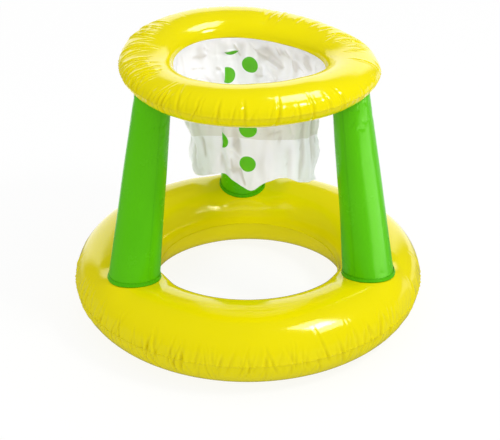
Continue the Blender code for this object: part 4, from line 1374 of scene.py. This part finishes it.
class HOOP_OT_rim_ring(bpy.types.Operator):
    """Make the two films of the rim ring"""
    bl_idname = "hoop.rim_ring"
    bl_label = "Rim Ring"

    def execute(self, context):
        scene = context.scene
        _, rim, posts = shared_shapes(scene)
        seat, pleats = valve_seats()["rim"], ring_pleats("rim", scene.hoop_rim.pleats)
        keep_off = [(post.head, *HEAD_CLEAR) for post in posts.values()]
        film = finished("yellow_film_gloss", ring_finish, scene.hoop_colours)
        upper = ring_film("rim_upper_film", rim, 1, pleats, *RIM_UPPER_GRID)
        lower = ring_film("rim_lower_film", rim, -1, pleats, *RIM_LOWER_GRID, seat, keep_off)
        finish_piece(upper, film, "hoop", "yellow_film", "rim_upper_sheet")
        finish_piece(lower, film, "hoop", "yellow_film", "rim_lower_sheet")
        return {"FINISHED"}


class HOOP_OT_posts(bpy.types.Operator):
    """Make the three posts with their foot collars and head discs"""
    bl_idname = "hoop.posts"
    bl_label = "Posts"

    def execute(self, context):
        scene = context.scene
        seats, foot_radius = valve_seats(), scene.hoop_posts.foot_radius
        film = finished("green_film_gloss", post_finish, scene.hoop_colours)
        band = finished("green_collar_film", collar_finish, scene.hoop_colours, foot_radius)
        for seed, (name, post) in enumerate(shared_shapes(scene)[2].items(), start=POST_SEED):
            tube = post_film(f"post_{name}_film", post, seed, seats[f"post_{name}"])
            finish_piece(tube, film, "hoop", "green_film", f"post_{name}_tube")
            collar = post_collar(f"post_{name}_foot_collar", post, seed)
            finish_piece(collar, band, "hoop", "green_film", f"post_{name}_foot_disc")
            head = post_head(f"post_{name}_head_weld", post)
            finish_piece(head, band, "hoop", "green_film", f"post_{name}_head_disc")
        return {"FINISHED"}


class HOOP_OT_net(bpy.types.Operator):
    """Make the hanging film net with its printed dots"""
    bl_idname = "hoop.net"
    bl_label = "Net"

    def execute(self, context):
        scene = context.scene
        sizes = scene.hoop_net
        piece, dots = net_film("net_film_tube", RimRing(scene.hoop_rim), sizes)
        film = net_finish("net_milky_film", scene.hoop_colours, sizes, dots)
        finish_piece(piece, film, "hoop", "net_film", "net")
        return {"FINISHED"}


class HOOP_OT_valves(bpy.types.Operator):
    """Make the five valves, each a flange, a stem, a plug cap and an inner flap"""
    bl_idname = "hoop.valves"
    bl_label = "Valves"

    def execute(self, context):
        colours = context.scene.hoop_colours
        clear = finished("valve_clear_vinyl", valve_finish, colours)
        for chamber, seat in valve_seats().items():
            skin = "yellow_film" if chamber in ("base", "rim") else "green_film"
            film, flange = bpy.data.materials[f"{skin}_gloss"], valve_flange(chamber, seat)
            finish_piece(flange, film, "hoop", skin, f"{chamber}_valve_flange")
            for part, make in (("stem", valve_stem), ("cap", valve_cap), ("flap", valve_flap)):
                piece = make(chamber, seat)
                finish_piece(piece, clear, f"{chamber}_{part}", "valve_vinyl", f"{chamber}_valve_{part}")
        return {"FINISHED"}


class HOOP_OT_stage(bpy.types.Operator):
    """Make the floor, the lamps, the room light and the camera"""
    bl_idname = "hoop.stage"
    bl_label = "Stage"

    def execute(self, context):
        scene, settings = context.scene, context.scene.hoop_stage
        half = settings.floor / 2
        corners = [(x * half, y * half, -FLOOR_DROP) for x, y in ((-1, -1), (1, -1), (1, 1), (-1, 1))]
        mesh = bpy.data.meshes.new("floor")
        mesh.from_pydata(corners, [], [(0, 1, 2, 3)])
        floor = bpy.data.objects.new("floor", mesh)
        scene.collection.objects.link(floor)
        floor.data.materials.append(floor_finish("floor_white", settings))
        white_room(scene, settings)
        rim = [piece for piece in scene.objects if piece.name.startswith("rim_")]
        rest = [piece for piece in scene.objects if piece.type == "MESH" and piece not in rim]
        post = [bpy.data.objects["post_right_film"]]
        shown_on = {"base_card": rest, "rim_card": rim, "post_card": post}
        for name, (place, target, size, setting, share) in LAMPS.items():
            lamp = add_lamp(name, place, target, size, getattr(settings, setting) * share)
            if name in shown_on:
                show_in_reflections(lamp, shown_on[name])
        add_camera(scene)
        scene.view_settings.view_transform = "Standard"
        return {"FINISHED"}


def show_in_reflections(card, pieces):
    """A reflector card lights nothing, and is seen by the reflections of some pieces alone."""
    card.visible_diffuse = card.visible_transmission = False
    card.light_linking.receiver_collection = bpy.data.collections.new(f"{card.name}_shows_on")
    for piece in pieces:
        card.light_linking.receiver_collection.objects.link(piece)


def ray_kinds(finish):
    """Wires that are one for rays of the camera or through clear surfaces, and for mirrored rays."""
    kinds = ("Is Camera Ray", "Is Transmission Ray", "Is Glossy Ray")
    direct, clear, glossy = finish.outputs("ShaderNodeLightPath", kinds)
    return direct.math("MAXIMUM", direct, clear), glossy


def floor_finish(name, settings):
    """White floor that shows white to the camera and keeps a share of the object's shadow. Mirrored
    rays see it white behind the hoop, half as bright to the right and dark elsewhere."""
    finish = Finish(name)
    finish.surface(Base_Color=(0.95, 0.95, 0.95, 1.0), Roughness=0.9, Specular_IOR_Level=0.0)
    across, away = finish.outputs("ShaderNodeSeparateXYZ", "XY", {"Vector": finish.place()})
    side = across / (away + 0.5).math("MAXIMUM", away + 0.5, 0.05)
    lit = side.between(-1.0, -0.5) * (1 - side.between(0.4, 0.8) * 0.5) * (1 - side.between(2.0, 4.0))
    lit = lit * away.between(0.22, 0.45)
    direct, glossy = ray_kinds(finish)
    white, bright, dim = (
        finish.node("ShaderNodeEmission", None, {"Color": (1.0, 1.0, 1.0, 1.0), "Strength": power})
        for power in (1.0, settings.backdrop, settings.dim_room))
    mirrored = finish.node("ShaderNodeMixShader", None, {0: lit, 1: dim, 2: bright})
    glow = finish.node("ShaderNodeMixShader", None, {0: glossy, 1: white, 2: mirrored})
    seen = direct.math("MAXIMUM", direct, glossy)
    share = seen * (1 - settings.shadow) + (1 - seen) * settings.bounce
    plain = Wire(finish, finish.shader.outputs[0])
    mixed = finish.node("ShaderNodeMixShader", None, {0: share, 1: plain, 2: glow})
    finish.put(finish.tree.nodes["Material Output"].inputs["Surface"], mixed)
    return finish.owner


def white_room(scene, settings):
    """Even light from all round, which is plain white where it is seen directly. Mirrored rays see
    the white backdrop behind the hoop, between two upright edges and an upper one, and a dim room
    elsewhere. The edges are ratios of a ray's parts: across over away, and its height."""
    scene.world = bpy.data.worlds.new("white_room")
    room = Finish("white_room", scene.world)
    way = room.node("ShaderNodeTexCoord", output="Generated")
    across, away, upward = room.outputs("ShaderNodeSeparateXYZ", "XYZ", {"Vector": way})
    side = across / away.math("MAXIMUM", away, 0.02)
    backdrop = side.between(-1.0, -0.72) * (1 - side.between(0.42, 0.70))
    backdrop = backdrop * (1 - upward.between(0.41, 0.51)) * away.between(0.0, 0.08)
    mirrored = backdrop * (settings.backdrop - settings.dim_room) + settings.dim_room
    direct, glossy = ray_kinds(room)
    lit = direct + (1 - direct) * (glossy * mirrored + (1 - glossy) * settings.sky)
    room.surface(Color=(1.0, 1.0, 1.0, 1.0), Strength=lit)


def add_lamp(name, place, target, size, power):
    """A flat lamp that faces its target."""
    lamp = bpy.data.lights.new(name, "AREA")
    lamp.shape = "RECTANGLE"
    lamp.size, lamp.size_y = size
    lamp.energy = power
    holder = bpy.data.objects.new(name, lamp)
    holder.location = place
    holder.rotation_euler = (Vector(target) - Vector(place)).to_track_quat("-Z", "Y").to_euler()
    bpy.context.scene.collection.objects.link(holder)
    return holder


def add_camera(scene):
    """The camera stands in front, a little to the right of the middle, and looks down."""
    camera = bpy.data.cameras.new("camera")
    camera.lens, camera.sensor_width = CAMERA_LENS
    holder = bpy.data.objects.new("camera", camera)
    down, roll = (math.radians(degrees) for degrees in CAMERA_TURN)
    look = Matrix.Rotation(TURN / 4 - down, 4, "X") @ Matrix.Rotation(roll, 4, "Z")
    holder.matrix_world = Matrix.Translation(CAMERA_PLACE) @ look
    scene.collection.objects.link(holder)
    scene.camera = holder


class HOOP_PT_panel(bpy.types.Panel):
    """Lists the hoop's pieces and settings"""
    bl_label = "Floating Hoop"
    bl_idname = "HOOP_PT_panel"
    bl_space_type = "VIEW_3D"
    bl_region_type = "UI"
    bl_category = "Hoop"

    def draw(self, context):
        for operator in OPERATORS:
            self.layout.operator(operator.bl_idname)
        for name, group in GROUPS.items():
            box = self.layout.box()
            box.label(text=group.__doc__)
            for key in group.__annotations__:
                box.prop(getattr(context.scene, name), key)


GROUPS = {"hoop_base": HoopBaseSizes, "hoop_rim": HoopRimSizes, "hoop_posts": HoopPostSizes,
          "hoop_net": HoopNetSizes, "hoop_colours": HoopColours, "hoop_stage": HoopStageSettings}
OPERATORS = (HOOP_OT_base_ring, HOOP_OT_rim_ring, HOOP_OT_posts, HOOP_OT_net, HOOP_OT_valves,
             HOOP_OT_stage)


def register():
    for kind in (*GROUPS.values(), *OPERATORS, HOOP_PT_panel):
        bpy.utils.register_class(kind)
    for name, group in GROUPS.items():
        setattr(bpy.types.Scene, name, PointerProperty(type=group))


def unregister():
    for name in GROUPS:
        delattr(bpy.types.Scene, name)
    for kind in reversed((*GROUPS.values(), *OPERATORS, HOOP_PT_panel)):
        bpy.utils.unregister_class(kind)


def main():
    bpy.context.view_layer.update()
    register()
    bpy.ops.hoop.base_ring()
    bpy.ops.hoop.rim_ring()
    bpy.ops.hoop.posts()
    bpy.ops.hoop.net()
    bpy.ops.hoop.valves()
    bpy.ops.hoop.stage()


if __name__ == "__main__":
    main()
